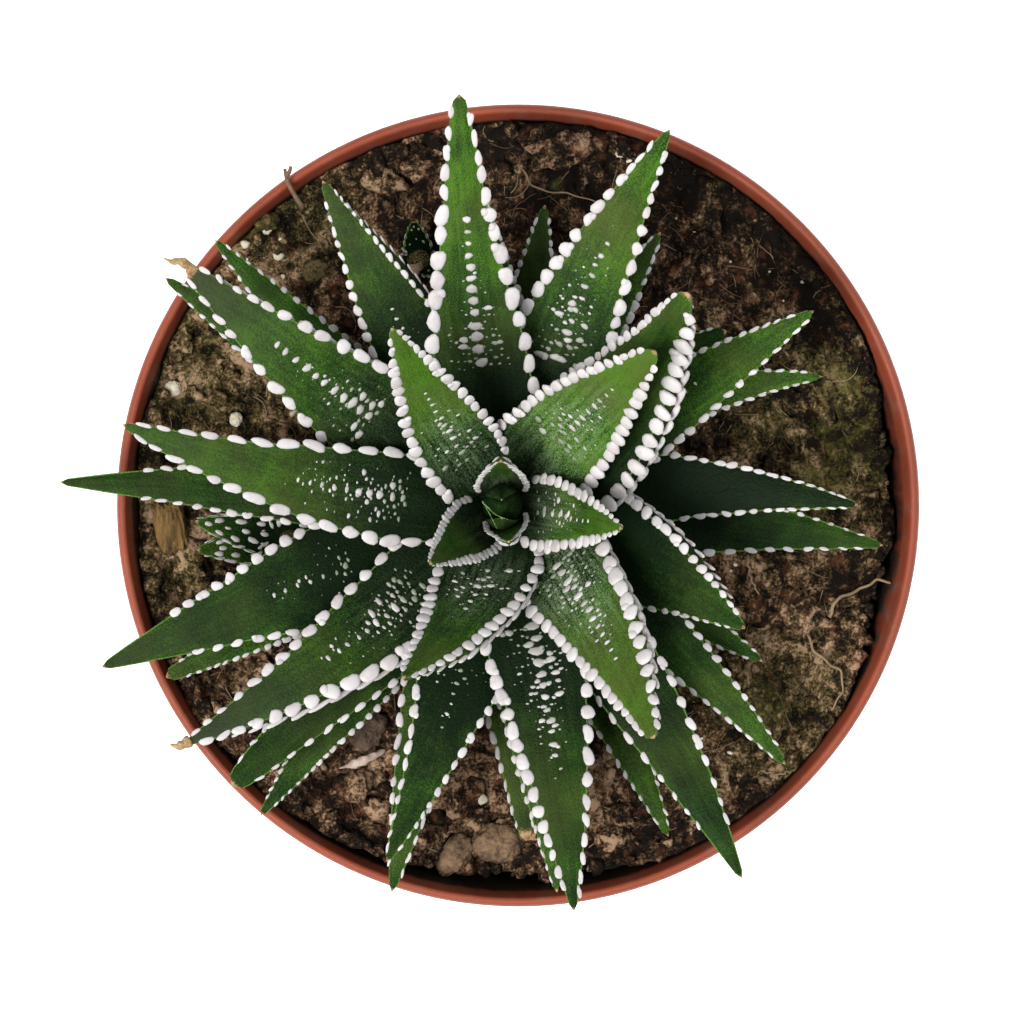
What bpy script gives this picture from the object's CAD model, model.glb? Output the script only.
# Potted haworthia: the finished surfaces around the measured solids.
# Sizes below are in millimetres unless a note says otherwise; meshes are made in metres.

import math

import bpy
import numpy as np
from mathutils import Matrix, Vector, noise


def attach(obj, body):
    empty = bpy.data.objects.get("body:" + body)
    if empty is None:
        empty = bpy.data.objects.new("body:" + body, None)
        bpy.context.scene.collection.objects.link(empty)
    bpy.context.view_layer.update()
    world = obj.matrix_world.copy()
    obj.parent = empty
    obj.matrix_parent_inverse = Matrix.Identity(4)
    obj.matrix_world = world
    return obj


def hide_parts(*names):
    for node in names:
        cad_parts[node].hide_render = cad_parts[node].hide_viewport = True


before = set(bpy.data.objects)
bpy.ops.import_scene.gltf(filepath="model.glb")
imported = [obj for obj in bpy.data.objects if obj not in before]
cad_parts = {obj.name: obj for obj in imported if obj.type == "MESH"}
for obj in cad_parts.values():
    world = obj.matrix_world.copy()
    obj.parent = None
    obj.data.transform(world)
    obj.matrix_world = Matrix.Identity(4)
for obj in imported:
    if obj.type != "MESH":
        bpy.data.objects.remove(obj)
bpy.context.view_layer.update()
print("frame loaded:", len(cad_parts), "nodes")
mm = 0.001


def addObject(name, data):
    thing = bpy.data.objects.new(name, data)
    bpy.context.scene.collection.objects.link(thing)
    return thing


# Camera: it looks straight down on the rosette
cameraSetup = {
    "aboveRim": 600,
    "rimHeight": 86,
    "seenAcross": 133.7,   # width of the frame at the rim
    "sensor": 36,
    "x": -0.79,
    "y": -0.85,
}


def makeCamera(setup):
    data = bpy.data.cameras.new("topCamera")
    data.sensor_width = setup["sensor"]
    data.lens = setup["sensor"] * setup["aboveRim"] / setup["seenAcross"]
    data.clip_start = 0.01
    data.clip_end = 20
    camera = addObject("topCamera", data)
    height = setup["aboveRim"] + setup["rimHeight"]
    camera.location = (setup["x"] * mm, setup["y"] * mm, height * mm)
    bpy.context.scene.camera = camera


# Soft studio light: the main softbox stands at the lower left of the picture
lightSetup = {
    "worldStrength": 0.2,
    "worldColour": (1.0, 0.99, 0.97),
    "key": {"place": (-0.46, -0.3, 1.0), "size": 0.55, "power": 14.6, "colour": (1.0, 0.97, 0.94)},
    "fill": {"place": (0.55, 0.1, 0.85), "size": 0.9, "power": 4.6, "colour": (0.96, 0.98, 1.0)},
    "lookAt": (0.0, 0.0, 0.09),
}


def makeLights(setup):
    world = bpy.context.scene.world or bpy.data.worlds.new("softWorld")
    bpy.context.scene.world = world
    world.use_nodes = True
    background = world.node_tree.nodes["Background"]
    background.inputs["Color"].default_value = (*setup["worldColour"], 1)
    background.inputs["Strength"].default_value = setup["worldStrength"]
    for name in ("key", "fill"):
        lamp = setup[name]
        data = bpy.data.lights.new(name + "Softbox", "AREA")
        data.size = lamp["size"]
        data.energy = lamp["power"]
        data.color = lamp["colour"]
        light = addObject(name + "Softbox", data)
        light.location = lamp["place"]
        aim = Vector(setup["lookAt"]) - Vector(lamp["place"])
        light.rotation_euler = aim.to_track_quat("-Z", "Y").to_euler()


makeCamera(cameraSetup)
makeLights(lightSetup)
bpy.context.scene.view_settings.view_transform = "Standard"
print("camera and lights placed")


# Material helpers: each adds a node, fed with numbers, colours and other nodes

def feed(tree, node, inputs):
    for name, value in inputs.items():
        socket = node.inputs[name]
        if isinstance(value, bpy.types.NodeSocket):
            tree.links.new(value, socket)
        else:
            socket.default_value = (*value, 1) if socket.type == "RGBA" else value


def addNode(tree, kind, output, inputs, **settings):
    node = tree.nodes.new("ShaderNode" + kind)
    for key, value in settings.items():
        setattr(node, key, value)
    feed(tree, node, inputs)
    return node.outputs[output]


def newMaterial(name):
    material = bpy.data.materials.new(name)
    material.use_nodes = True
    return material, material.node_tree


def dress(material, inputs):
    # feeds the material's own shader
    tree = material.node_tree
    feed(tree, tree.nodes["Principled BSDF"], inputs)
    return material


def objectPlace(tree):
    return addNode(tree, "TexCoord", "Object", {})


def attributeOf(tree, name):
    return addNode(tree, "Attribute", "Vector", {}, attribute_name=name)


def splitVector(tree, vector):
    return addNode(tree, "SeparateXYZ", 0, {0: vector}).node.outputs


def stretched(tree, vector, *scale):
    return addNode(tree, "VectorMath", 0, {0: vector, 1: scale}, operation="MULTIPLY")


def noiseOf(tree, vector, scale, detail=4, roughness=0.55, distortion=0.0):
    return addNode(tree, "TexNoise", "Fac", {"Vector": vector, "Scale": scale, "Detail": detail,
                                             "Roughness": roughness, "Distortion": distortion})


def cellsOf(tree, vector, scale):
    return addNode(tree, "TexVoronoi", "Distance", {"Vector": vector, "Scale": scale})


def mathOf(tree, operation, first, second):
    return addNode(tree, "Math", 0, {0: first, 1: second}, operation=operation)


def rangeOf(tree, value, low, high, toLow=0.0, toHigh=1.0):
    return addNode(tree, "MapRange", "Result", {"Value": value, "From Min": low, "From Max": high,
                                                "To Min": toLow, "To Max": toHigh})


def varied(tree, value, *patterns):
    # shifts a value by each pattern: its range, and the least and the greatest shift
    for pattern, low, high, least, greatest in patterns:
        value = mathOf(tree, "ADD", value, rangeOf(tree, pattern, low, high, least, greatest))
    return value


def rampOf(tree, factor, *stops):
    colour = addNode(tree, "ValToRGB", "Color", {"Fac": factor})
    elements = colour.node.color_ramp.elements
    while len(elements) < len(stops):
        elements.new(0.5)
    for element, (place, shade) in zip(elements, stops):
        element.position = place
        element.color = (*shade, 1)
    return colour


def blendOf(tree, factor, first, second):
    return addNode(tree, "Mix", 2, {0: factor, 6: first, 7: second}, data_type="RGBA")


def bumpsOf(tree, *layers):
    # fine relief: the pattern, strength and depth in metres of each layer
    under = {}
    for pattern, strength, depth in layers:
        normal = addNode(tree, "Bump", "Normal",
                         {"Height": pattern, "Strength": strength, "Distance": depth, **under})
        under = {"Normal": normal}
    return normal


# Mesh helpers: a shape gathers points and faces, with two values that the materials read

def newShape():
    return {"points": [], "faces": [], "finish": [], "look": [], "place": [], "count": 0}


def addToShape(shape, points, faces, look=(0, 0, 0), finish=0, place=None):
    for group in faces:
        shape["faces"].extend((np.asarray(group) + shape["count"]).tolist())
        shape["finish"].extend([finish] * len(group))
    shape["points"].append(points)
    shape["look"].append(np.broadcast_to(np.asarray(look, float), (len(points), 3)))
    shape["place"].append(points if place is None else place)
    shape["count"] += len(points)


def makePiece(name, shape, materials, replaced=None):
    mesh = bpy.data.meshes.new(name)
    mesh.from_pydata((np.concatenate(shape["points"]) * mm).tolist(), [], shape["faces"])
    for material in materials:
        mesh.materials.append(material)
    mesh.polygons.foreach_set("material_index", shape["finish"])
    for key in ("look", "place"):
        values = np.concatenate(shape[key]).astype(np.float32)
        mesh.attributes.new(key, "FLOAT_VECTOR", "POINT").data.foreach_set("vector", values.ravel())
    mesh.shade_smooth()
    piece = addObject(name, mesh)
    if replaced:
        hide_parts(replaced)
    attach(piece, "root")
    return piece


def riseBetween(x, low, high):
    t = np.clip((x - low) / (high - low), 0, 1)
    return t * t * (3 - 2 * t)


def unitRows(vectors):
    return vectors / np.linalg.norm(vectors, axis=1, keepdims=True)


def headingOf(degrees):
    angle = math.radians(degrees)
    return np.array([math.cos(angle), math.sin(angle), 0.0])


def turned(points, angle):
    c, s = math.cos(angle), math.sin(angle)
    return points @ np.array([[c, s, 0], [-s, c, 0], [0, 0, 1]])


def roundSteps(sides):
    return 2 * math.pi * np.arange(sides) / sides


def tubeFaces(rows, sides, flip=False):
    # quads between the rings, and a fan at each end to the two points after the rings
    ring = np.arange(sides)
    nextRing = (ring + 1) % sides
    faces = []
    for a in sides * np.arange(rows - 1):
        faces.append(np.stack([a + ring, a + nextRing, a + sides + nextRing, a + sides + ring], 1))
    last = (rows - 1) * sides
    faces.append(np.stack([np.full(sides, rows * sides), nextRing, ring], 1))
    faces.append(np.stack([np.full(sides, rows * sides + 1), last + ring, last + nextRing], 1))
    return [group[:, ::-1] for group in faces] if flip else faces


def addTube(shape, line, radii, sides, look, flatten=1.0):
    # a closed round tube along a line of points
    line = np.asarray(line, float)
    along = unitRows(np.gradient(line, axis=0))
    aside = unitRows(np.cross(along, np.array([0.31, 0.17, 0.93])))
    up = np.cross(aside, along)
    angle = roundSteps(sides)
    ring = (aside[:, None] * np.cos(angle)[None, :, None]
            + up[:, None] * np.sin(angle)[None, :, None] * flatten)
    points = (line[:, None] + ring * np.asarray(radii, float)[:, None, None]).reshape(-1, 3)
    points = np.concatenate([points, line[:1], line[-1:]])
    addToShape(shape, points, tubeFaces(len(line), sides), look)


def smoothLine(points, count, rounds=3):
    # a soft curve through hand-set points
    points = np.asarray(points, float)
    reach = np.linspace(0, len(points) - 1, count)
    line = np.stack([np.interp(reach, np.arange(len(points)), points[:, axis])
                     for axis in range(points.shape[1])], 1)
    for _ in range(rounds):
        line[1:-1] = (line[:-2] + 2 * line[1:-1] + line[2:]) / 4
    return line


def beadForm(sides, levels, lowest, corner=2.0, inner=1.0, fullness=1.0):
    # a unit bead as rings of latitude from the lowest one to the pole, seen from above an oval
    # that is squarer with a higher corner value; its inner side can be drawn in
    if lowest <= -math.pi / 2:
        heights = np.linspace(-math.pi / 2, math.pi / 2, levels + 2)[1:-1]
    else:
        heights = np.linspace(lowest, math.pi / 2, levels + 1)[:-1]
    angle = roundSteps(sides)
    c, s = np.cos(angle), np.sin(angle)
    reach = (np.abs(c) ** corner + np.abs(s) ** corner) ** (-1 / corner)
    x = reach * c * np.where(c < 0, inner, 1)
    y = reach * s
    rings = []
    for h in heights:
        r = math.cos(h) ** fullness
        rings.append(np.stack([x * r, y * r, np.full(sides, math.sin(h))], 1))
    points = np.concatenate(rings + [[[0, 0, max(-1, math.sin(lowest))], [0, 0, 1]]])
    return points, tubeFaces(len(rings), sides)


def addBeads(shape, form, centres, axes, sizes, tones, rng, wobble=0.06, veil=0.0, chosen=slice(None)):
    # many beads at once: each unit bead is stretched along its own three directions
    unit, faces = form
    centres = centres[chosen]
    count = len(centres)
    if count == 0:
        return
    wide, long, high = [axis[chosen] * size[chosen, None] for axis, size in zip(axes, sizes)]
    angle = np.arctan2(unit[:, 1], unit[:, 0])[None]
    phase = rng.uniform(0, 2 * math.pi, (2, count, 1))
    swell = 1 + wobble * np.sin(2 * angle + phase[0]) + 0.7 * wobble * np.sin(3 * angle + phase[1])
    x = unit[None, :, 0] * swell
    y = unit[None, :, 1] * swell
    points = (centres[:, None] + x[..., None] * wide[:, None] + y[..., None] * long[:, None]
              + unit[None, :, 2, None] * high[:, None]).reshape(-1, 3)
    low = unit[:, 2].min()
    foot = 1 - (unit[:, 2] - low) / (1 - low)
    veils = np.repeat(np.zeros(count) + veil, len(unit))
    looks = np.stack([np.repeat(tones, len(unit)), np.tile(foot, count), veils], 1)
    offsets = (np.arange(count) * len(unit))[:, None, None]
    groups = [(group[None] + offsets).reshape(-1, group.shape[1]) for group in faces]
    addToShape(shape, points, groups, looks, 1)


# Leaf and pearl finishes
leafColours = {
    "deep": (0.0026, 0.0105, 0.0022),
    "middle": (0.018, 0.053, 0.006),
    "bright": (0.070, 0.182, 0.012),
    "olive": (0.075, 0.090, 0.020),
    "bloom": (0.24, 0.34, 0.19),    # the pale shine of the fine bumps near the base
    "ash": (0.034, 0.044, 0.024),   # the dull outer part of some leaves
    "dryPale": (0.50, 0.36, 0.20),
    "dryDark": (0.26, 0.13, 0.055),
    "roughness": 0.56,
    "bumpSize": 0.30,               # spacing of the fine bumps
    "glow": 0.08,                   # how much light the flesh scatters
}


def leafSkinMaterial(colours):
    material, tree = newMaterial("leafSkin")
    place = attributeOf(tree, "place")
    tone, bloom, dry = splitVector(tree, attributeOf(tree, "look"))
    patches = noiseOf(tree, place, 0.22, 4, 0.6)
    streaks = noiseOf(tree, stretched(tree, place, 1.6, 0.16, 1.0), 1.0, 3, 0.6)
    grain = noiseOf(tree, place, 1.6 / colours["bumpSize"], 2, 0.6)
    bumps = cellsOf(tree, stretched(tree, place, 1.0, 0.8, 1.0), 1 / colours["bumpSize"])
    level = varied(tree, tone, (patches, 0.3, 0.7, -0.17, 0.17), (streaks, 0.3, 0.7, -0.12, 0.12),
                   (grain, 0.3, 0.7, -0.27, 0.30))
    green = rampOf(tree, level, (0.05, colours["deep"]), (0.5, colours["middle"]),
                   (0.95, colours["bright"]))
    oliveShare = rangeOf(tree, noiseOf(tree, place, 0.09, 2, 0.5), 0.42, 0.68, 0.0, 0.8)
    green = blendOf(tree, mathOf(tree, "MULTIPLY", oliveShare, tone), green, colours["olive"])
    green = blendOf(tree, rangeOf(tree, bloom, 0.0, -1.0), green, colours["ash"])
    specks = rangeOf(tree, varied(tree, grain, (streaks, 0.3, 0.7, -0.14, 0.14)), 0.4, 0.66)
    speckled = mathOf(tree, "MULTIPLY", specks, mathOf(tree, "MAXIMUM", bloom, 0.0))
    green = blendOf(tree, speckled, green, colours["bloom"])
    crust = blendOf(tree, rangeOf(tree, noiseOf(tree, place, 1.7, 4, 0.7), 0.35, 0.62),
                    colours["dryDark"], colours["dryPale"])
    withered = rangeOf(tree, varied(tree, dry, (grain, 0.3, 0.7, -0.2, 0.2)), 0.35, 0.75)
    rough = colours["roughness"]
    return dress(material, {
        "Base Color": blendOf(tree, withered, green, crust),
        "Roughness": rangeOf(tree, grain, 0.3, 0.7, rough - 0.07, rough + 0.12),
        "Specular IOR Level": 0.1, "Subsurface Weight": colours["glow"],
        "Subsurface Radius": (0.4, 1.0, 0.15), "Subsurface Scale": 0.0014,
        "Normal": bumpsOf(tree, (bumps, 0.5, 0.00016), (streaks, 0.3, 0.0004))})


pearlColours = {
    "top": (0.645, 0.627, 0.632),
    "shade": (0.43, 0.385, 0.39),   # some pearls are pinkish grey
    "foot": (0.12, 0.17, 0.07),
    "veil": (0.17, 0.22, 0.13),     # dots that sit low in the green
    "roughness": 0.5,
}


def pearlMaterial(colours):
    material, tree = newMaterial("pearlWhite")
    place = attributeOf(tree, "place")
    tone, foot, veiled = splitVector(tree, attributeOf(tree, "look"))
    mottle = noiseOf(tree, place, 0.9, 3, 0.6)
    white = blendOf(tree, varied(tree, tone, (mottle, 0.3, 0.7, -0.25, 0.25)),
                    colours["shade"], colours["top"])
    white = blendOf(tree, veiled, white, colours["veil"])
    rooted = rangeOf(tree, foot, 0.45, 0.95, 0.0, 0.85)
    rough = colours["roughness"]
    return dress(material, {
        "Base Color": blendOf(tree, rooted, white, colours["foot"]),
        "Roughness": rangeOf(tree, mottle, 0.3, 0.7, rough - 0.08, rough + 0.12),
        "Subsurface Weight": 0.18, "Subsurface Radius": (0.9, 0.8, 0.7), "Subsurface Scale": 0.0006,
        "Normal": bumpsOf(tree, (noiseOf(tree, place, 5.0, 3, 0.6), 0.16, 0.0001))})


leafSkin = leafSkinMaterial(leafColours)
pearlWhite = pearlMaterial(pearlColours)

# Leaf form, the same for every leaf
leafForm = {
    "x": -2, "y": 0,            # the rosette stands a little off the pot's axis
    "stemTop": 98,
    "pitch": 0.42,              # each leaf leaves the stem this much lower than the one before
    "rootReach": 1.6,
    "shoulder": 0.7,            # where the straight taper to the tip starts
    "thickness": 0.36,          # share of the width
    "rootThickness": 0.4,
    "tipHalfWidth": 0.25,
    "crown": 0.10,              # softness of the upper face's edges, share of the thickness
    "channel": 0.13,            # dip along the middle of the upper face, share of the half width
    "hump": 0.10,               # swell near the tip, share of the half width
    "keel": 0.92,               # depth of the back, share of the thickness
    "rowStep": 0.85,
    "topPoints": 13,
    "backPoints": 11,
    "seed": 1000,
}

# Every leaf from the bud outwards: name, place down the stem, heading at the root and at the tip,
# reach, height of the tip, width, bow and roll in degrees, and for some a slimmer outer half,
# as in the solids
leafList = [
    ("bud_leaf_1", 0, 92, 92, 5.5, 113, 6.4, -7, 0),
    ("bud_leaf_2", 1, 283, 280, 4.6, 112, 5.4, -7, 0),
    ("leaf_01", 2, 219, 219, 11.5, 116, 7.6, -8, 0),
    ("leaf_02", 3, 350, 349, 15, 118, 8.8, -8, 0),
    ("leaf_03", 5, 129, 122, 25.5, 124, 11, -5, 6),
    ("leaf_04", 4, 50, 45, 26.5, 124, 14.5, -5, 0),
    ("leaf_05", 8, 33.5, 48.8, 34.6, 122, 18.5, -5, 13, 0.09),
    ("leaf_06", 7, 315, 303, 34, 124, 13.6, -5, -12),
    ("leaf_07", 6, 262, 240, 24.5, 121, 13, -5, -14),
    ("leaf_08", 10, 100, 96, 51.5, 113, 13.5, 0, 0, 0.16),
    ("leaf_09", 11, 148, 143, 49.5, 109, 15, 0, 8),
    ("leaf_10", 9, 178, 168, 48.5, 112, 12, 0, 0),
    ("leaf_11", 23, 175, 177, 57, 95, 10.5, 3, 0, 0.1),
    ("leaf_12", 20, 201, 202, 55, 101, 15.5, 2, 0),
    ("leaf_13", 13, 227, 217, 50, 107, 13, 0, -12),
    ("leaf_14", 26, 229, 226, 50, 96, 14, 3, 0),
    ("leaf_15", 34, 231, 232, 51, 90, 11, 5, 0),
    ("leaf_16", 17, 259, 252, 47.6, 102, 15, 2, 7, 0.22),
    ("leaf_17", 14, 285, 280, 52, 106, 14, 1, 0),
    ("leaf_18", 30, 279, 278, 50.5, 92, 11, 4, 0),
    ("leaf_19", 38, 272, 274, 43.9, 86, 11.5, 5, 0),
    ("leaf_20", 18, 309, 302.7, 56.5, 100, 12.8, 2, 0),
    ("leaf_21", 31, 300, 296.6, 48, 90, 10, 4, 0),
    ("leaf_22", 28, 325, 317.5, 49.5, 93, 10.2, 3, 0, 0.1),
    ("leaf_23", 39, 330, 329, 39.5, 87, 9, 5, 0),
    ("leaf_24", 12, 343, 333, 34, 112, 16, -3, -12),
    ("leaf_25", 21, 11, 0, 45.5, 98, 11, 2, 0, 0.1),
    ("leaf_26", 27, 358, 354, 49.5, 91, 11.5, 4, 0),
    ("leaf_27", 16, 32, 32, 46.5, 104, 12.8, 1, 0),
    ("leaf_28", 22, 42, 22, 44.5, 92, 9, 4, 0),
    ("leaf_29", 40, 52, 38, 37, 87, 10, 5, 0),
    ("leaf_30", 15, 73, 66, 52, 105, 14.6, 1, 0),
    ("leaf_31", 35, 62, 60, 41, 89, 10, 5, 0),
    ("leaf_32", 41, 82, 82, 39.5, 88, 11.5, 5, 0),
    ("leaf_33", 32, 88, 94, 40, 91, 11, 5, 0),
    ("leaf_34", 19, 120, 119, 47, 104, 13.6, 1, 12),
    ("leaf_35", 25, 141, 137.3, 50.5, 93, 9, 4, 0),
    ("leaf_36", 33, 147, 146, 53, 88, 10, 4, 0),
    ("leaf_37", 29, 208, 207, 49, 90, 9.5, 4, 0),
    ("leaf_38", 24, 249, 254, 51.8, 94, 12.2, 3, 0),
]

# How one leaf differs from the rest. left, right: spacing, half width and fill of the pearls on that
# margin (a fill of 1 makes them touch); tone: brightness of the green; dots: size of the dots on the
# upper face; spread: share of the length that they cover; until: where the pearls end;
# blunt: half width of a blunt tip; dry: length of the withered tip; flank: how far the second row
# stands out on the raised side; lens: share of pointed pearls; dusk: share of the length that is
# darker towards the base; frost: strength of the pale speckle over the base; ash: dullness of the
# outer part; taper: share of the length over which the pearls grow from the tip; from: where the
# dots and the pale bloom start; level: how far the pearls of the raised margin lie flat
leafUsual = {"left": (1.9, 0.48, 0.75), "right": (1.9, 0.48, 0.75), "tone": 0.5, "dots": 0.0,
             "spread": 0.6, "until": 0.965, "blunt": 0.0, "dry": 0.35, "flank": 0.0, "lens": 0.3,
             "dusk": 0.55, "frost": 0.0, "ash": 0.0, "taper": 0.42, "from": 0.2, "level": 0.0,
             "slim": 0.05}
leafTraits = {
    "bud_leaf_1": {"left": (0.9, 0.5, 1.1), "right": (0.9, 0.5, 1.1), "dry": 0.2, "frost": 0.6},
    "bud_leaf_2": {"left": (0.9, 0.42, 1.1), "right": (0.9, 0.42, 1.1), "tone": 0.46, "dry": 0.2},
    "leaf_01": {"left": (1.25, 0.72, 1.0), "right": (1.15, 0.66, 1.05), "tone": 0.44,
                "from": 0.1, "dry": 0.6, "dusk": 0.4, "frost": 0.2},
    "leaf_02": {"left": (1.65, 0.85, 1.0), "right": (1.75, 0.92, 1.05), "tone": 0.68, "dots": 0.35,
                "from": 0.15, "spread": 0.7, "dry": 0.3, "dusk": 0.4, "frost": 0.6},
    "leaf_03": {"left": (2.05, 0.9, 0.98), "right": (1.75, 0.8, 0.98), "tone": 0.84, "dots": 0.5,
                "dry": 0.3, "dusk": 0.5, "frost": 0.55, "taper": 0.3},
    "leaf_04": {"left": (1.7, 0.92, 1.02), "right": (1.95, 1.1, 0.98), "tone": 0.84, "dots": 0.7,
                "from": 0.32, "spread": 0.72, "blunt": 0.4, "dry": 0.4, "dusk": 0.36, "frost": 0.8,
                "taper": 0.25},
    "leaf_05": {"left": (1.65, 0.66, 1.0), "right": (2.2, 1.35, 0.9), "tone": 0.46, "dots": 0.15,
                "blunt": 0.55, "dry": 0.7, "flank": 1.7, "level": 0.85, "dusk": 0.7, "frost": 0.05,
                "taper": 0.16},
    "leaf_06": {"left": (2.3, 1.12, 0.95), "right": (1.75, 0.95, 1.1), "tone": 0.7, "dots": 1.3,
                "from": 0.24, "spread": 0.66, "blunt": 0.4, "dry": 0.5, "flank": 1.3, "level": 0.6,
                "dusk": 0.5, "frost": 0.8, "taper": 0.28},
    "leaf_07": {"left": (1.8, 0.9, 1.05), "right": (1.8, 0.95, 1.05), "dots": 0.6,
                "from": 0.24, "dry": 0.3, "flank": 1.2, "level": 0.5, "dusk": 0.6, "frost": 0.5},
    "leaf_08": {"left": (3.0, 1.06, 0.94), "right": (2.8, 1.0, 0.94), "tone": 0.6, "dots": 1.9,
                "from": 0.32, "spread": 0.66, "blunt": 0.35, "dry": 0.45, "dusk": 0.56, "frost": 0.06},
    "leaf_09": {"left": (3.1, 0.85, 0.7), "right": (2.75, 0.9, 0.76), "tone": 0.64, "dots": 1.8,
                "from": 0.38, "spread": 0.72, "blunt": 0.4, "dry": 1.2, "flank": 0.6, "level": 0.5,
                "dusk": 0.7, "frost": 0.12, "ash": 0.75},
    "leaf_10": {"left": (3.2, 0.82, 0.86), "right": (3.4, 0.76, 0.84), "tone": 0.62, "dots": 0.8,
                "from": 0.22, "dusk": 0.6, "frost": 0.05, "ash": 0.5},
    "leaf_11": {"left": (2.3, 0.46, 0.7), "right": (2.3, 0.46, 0.72), "tone": 0.24, "until": 0.82,
                "dry": 0.2},
    "leaf_12": {"left": (2.45, 0.56, 0.72), "right": (2.35, 0.8, 0.76), "tone": 0.3, "dots": 0.5,
                "from": 0.36, "spread": 0.62, "until": 0.8, "dry": 0.2, "dusk": 0.66, "ash": 0.3},
    "leaf_13": {"left": (2.7, 1.12, 1.0), "right": (2.85, 0.82, 0.7), "tone": 0.46, "dots": 1.0,
                "from": 0.26, "spread": 0.62, "dry": 0.7, "flank": 1.3, "level": 0.5, "dusk": 0.6,
                "frost": 0.1, "ash": 0.8},
    "leaf_14": {"left": (2.8, 0.5, 0.62), "right": (3.0, 0.56, 0.6), "tone": 0.2, "blunt": 0.8,
                "dry": 0.6},
    "leaf_15": {"left": (1.5, 0.46, 0.8), "right": (1.5, 0.46, 0.8), "tone": 0.3, "dry": 0.3},
    "leaf_16": {"left": (2.05, 0.56, 0.7), "right": (2.4, 0.58, 0.8), "tone": 0.24, "dots": 0.3,
                "from": 0.4, "spread": 0.66, "dusk": 0.8},
    "leaf_17": {"left": (2.8, 0.86, 0.84), "right": (2.35, 0.98, 0.92), "tone": 0.3, "dots": 1.8,
                "from": 0.28, "spread": 0.68, "dry": 0.3, "dusk": 0.66, "frost": 0.05},
    "leaf_18": {"tone": 0.45},
    "leaf_19": {"left": (2.2, 0.52, 0.8), "right": (2.2, 0.52, 0.8), "tone": 0.4, "blunt": 0.3, "dry": 1.5},
    "leaf_20": {"left": (2.8, 0.56, 0.7), "right": (2.9, 0.46, 0.56), "tone": 0.2, "until": 0.88,
                "dry": 0.2, "dusk": 0.66},
    "leaf_21": {"left": (2.0, 0.46, 0.75), "right": (2.0, 0.46, 0.75), "tone": 0.44},
    "leaf_22": {"left": (2.05, 0.52, 0.76), "right": (2.15, 0.46, 0.75), "tone": 0.38, "dry": 0.3,
                "dusk": 0.7},
    "leaf_23": {"tone": 0.3},
    "leaf_24": {"left": (1.75, 0.85, 0.95), "right": (1.8, 0.46, 0.76), "tone": 0.3, "dry": 0.3,
                "flank": 1.3, "level": 0.6, "dusk": 0.85},
    "leaf_25": {"left": (1.85, 0.45, 0.9), "right": (1.95, 0.42, 0.8), "tone": 0.02, "dry": 0.3,
                "lens": 0.5, "dusk": 0.95},
    "leaf_26": {"left": (2.1, 0.42, 0.66), "right": (2.4, 0.5, 0.66), "tone": 0.28, "dry": 0.3,
                "lens": 0.5, "dusk": 0.8},
    "leaf_27": {"left": (1.95, 0.5, 0.8), "right": (2.15, 0.58, 0.72), "tone": 0.52, "dots": 0.2,
                "dry": 0.3, "dusk": 0.6},
    "leaf_28": {"left": (1.75, 0.5, 0.8), "right": (1.75, 0.5, 0.8), "dry": 0.3},
    "leaf_29": {"left": (1.5, 0.44, 0.85), "right": (1.5, 0.44, 0.85), "tone": 0.3, "blunt": 0.4,
                "dry": 0.3},
    "leaf_30": {"left": (2.4, 1.0, 0.88), "right": (2.35, 0.9, 0.86), "tone": 0.6, "dots": 1.0,
                "from": 0.36, "spread": 0.74, "dry": 0.4, "dusk": 0.62, "frost": 0.06},
    "leaf_31": {"left": (1.9, 0.6, 0.85), "right": (1.9, 0.62, 0.85), "tone": 0.32, "dry": 0.3},
    "leaf_32": {"left": (1.6, 0.6, 0.9), "right": (1.6, 0.6, 0.9), "tone": 0.26, "dry": 0.3},
    "leaf_33": {"left": (1.6, 0.56, 0.9), "right": (1.6, 0.56, 0.9), "tone": 0.26, "dry": 0.3},
    "leaf_34": {"left": (2.0, 0.6, 0.8), "right": (1.5, 0.46, 0.88), "tone": 0.4, "dots": 0.5,
                "from": 0.3, "dry": 0.3, "flank": 1.3, "level": 0.4, "dusk": 0.8, "ash": 0.25},
    "leaf_35": {"left": (2.15, 0.5, 0.66), "right": (2.15, 0.5, 0.62), "tone": 0.42, "dry": 0.3},
    "leaf_36": {"left": (2.2, 0.46, 0.66), "right": (2.2, 0.46, 0.66), "tone": 0.36, "dry": 0.3},
    "leaf_37": {"left": (1.5, 0.46, 0.8), "right": (1.5, 0.46, 0.8), "tone": 0.38, "blunt": 0.4,
                "dry": 0.4},
    "leaf_38": {"left": (2.7, 0.52, 0.74), "right": (2.7, 0.54, 0.74), "tone": 0.42, "dry": 0.3},
}

# Withered ends that curl on beyond a leaf's tip: points from the tip outwards, relative to it
witheredEnds = {
    "leaf_09": [(0.6, -0.5, -0.2), (0.1, 0.3, 0.3), (-0.9, 0.8, 0.9), (-1.9, 0.7, 1.2), (-2.9, 1.2, 0.8)],
    "leaf_13": [(0.6, 0.4, -0.2), (-0.3, -0.1, 0.2), (-1.1, -0.3, 0.4), (-1.9, 0.0, 0.5)],
}


def readLeaf(row):
    keys = ("name", "place", "rootHeading", "tipHeading", "reach", "tipHeight", "width", "bow", "roll",
            "slim")
    leaf = {**leafUsual, **dict(zip(keys, row)), **leafTraits.get(row[0], {})}
    leaf["x"] = leafForm["x"]
    leaf["y"] = leafForm["y"]
    leaf["rootHeight"] = leafForm["stemTop"] - 1 - leafForm["pitch"] * leaf["place"]
    leaf["phase"] = 1.7 * leaf["place"] + 0.4
    return leaf


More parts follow.
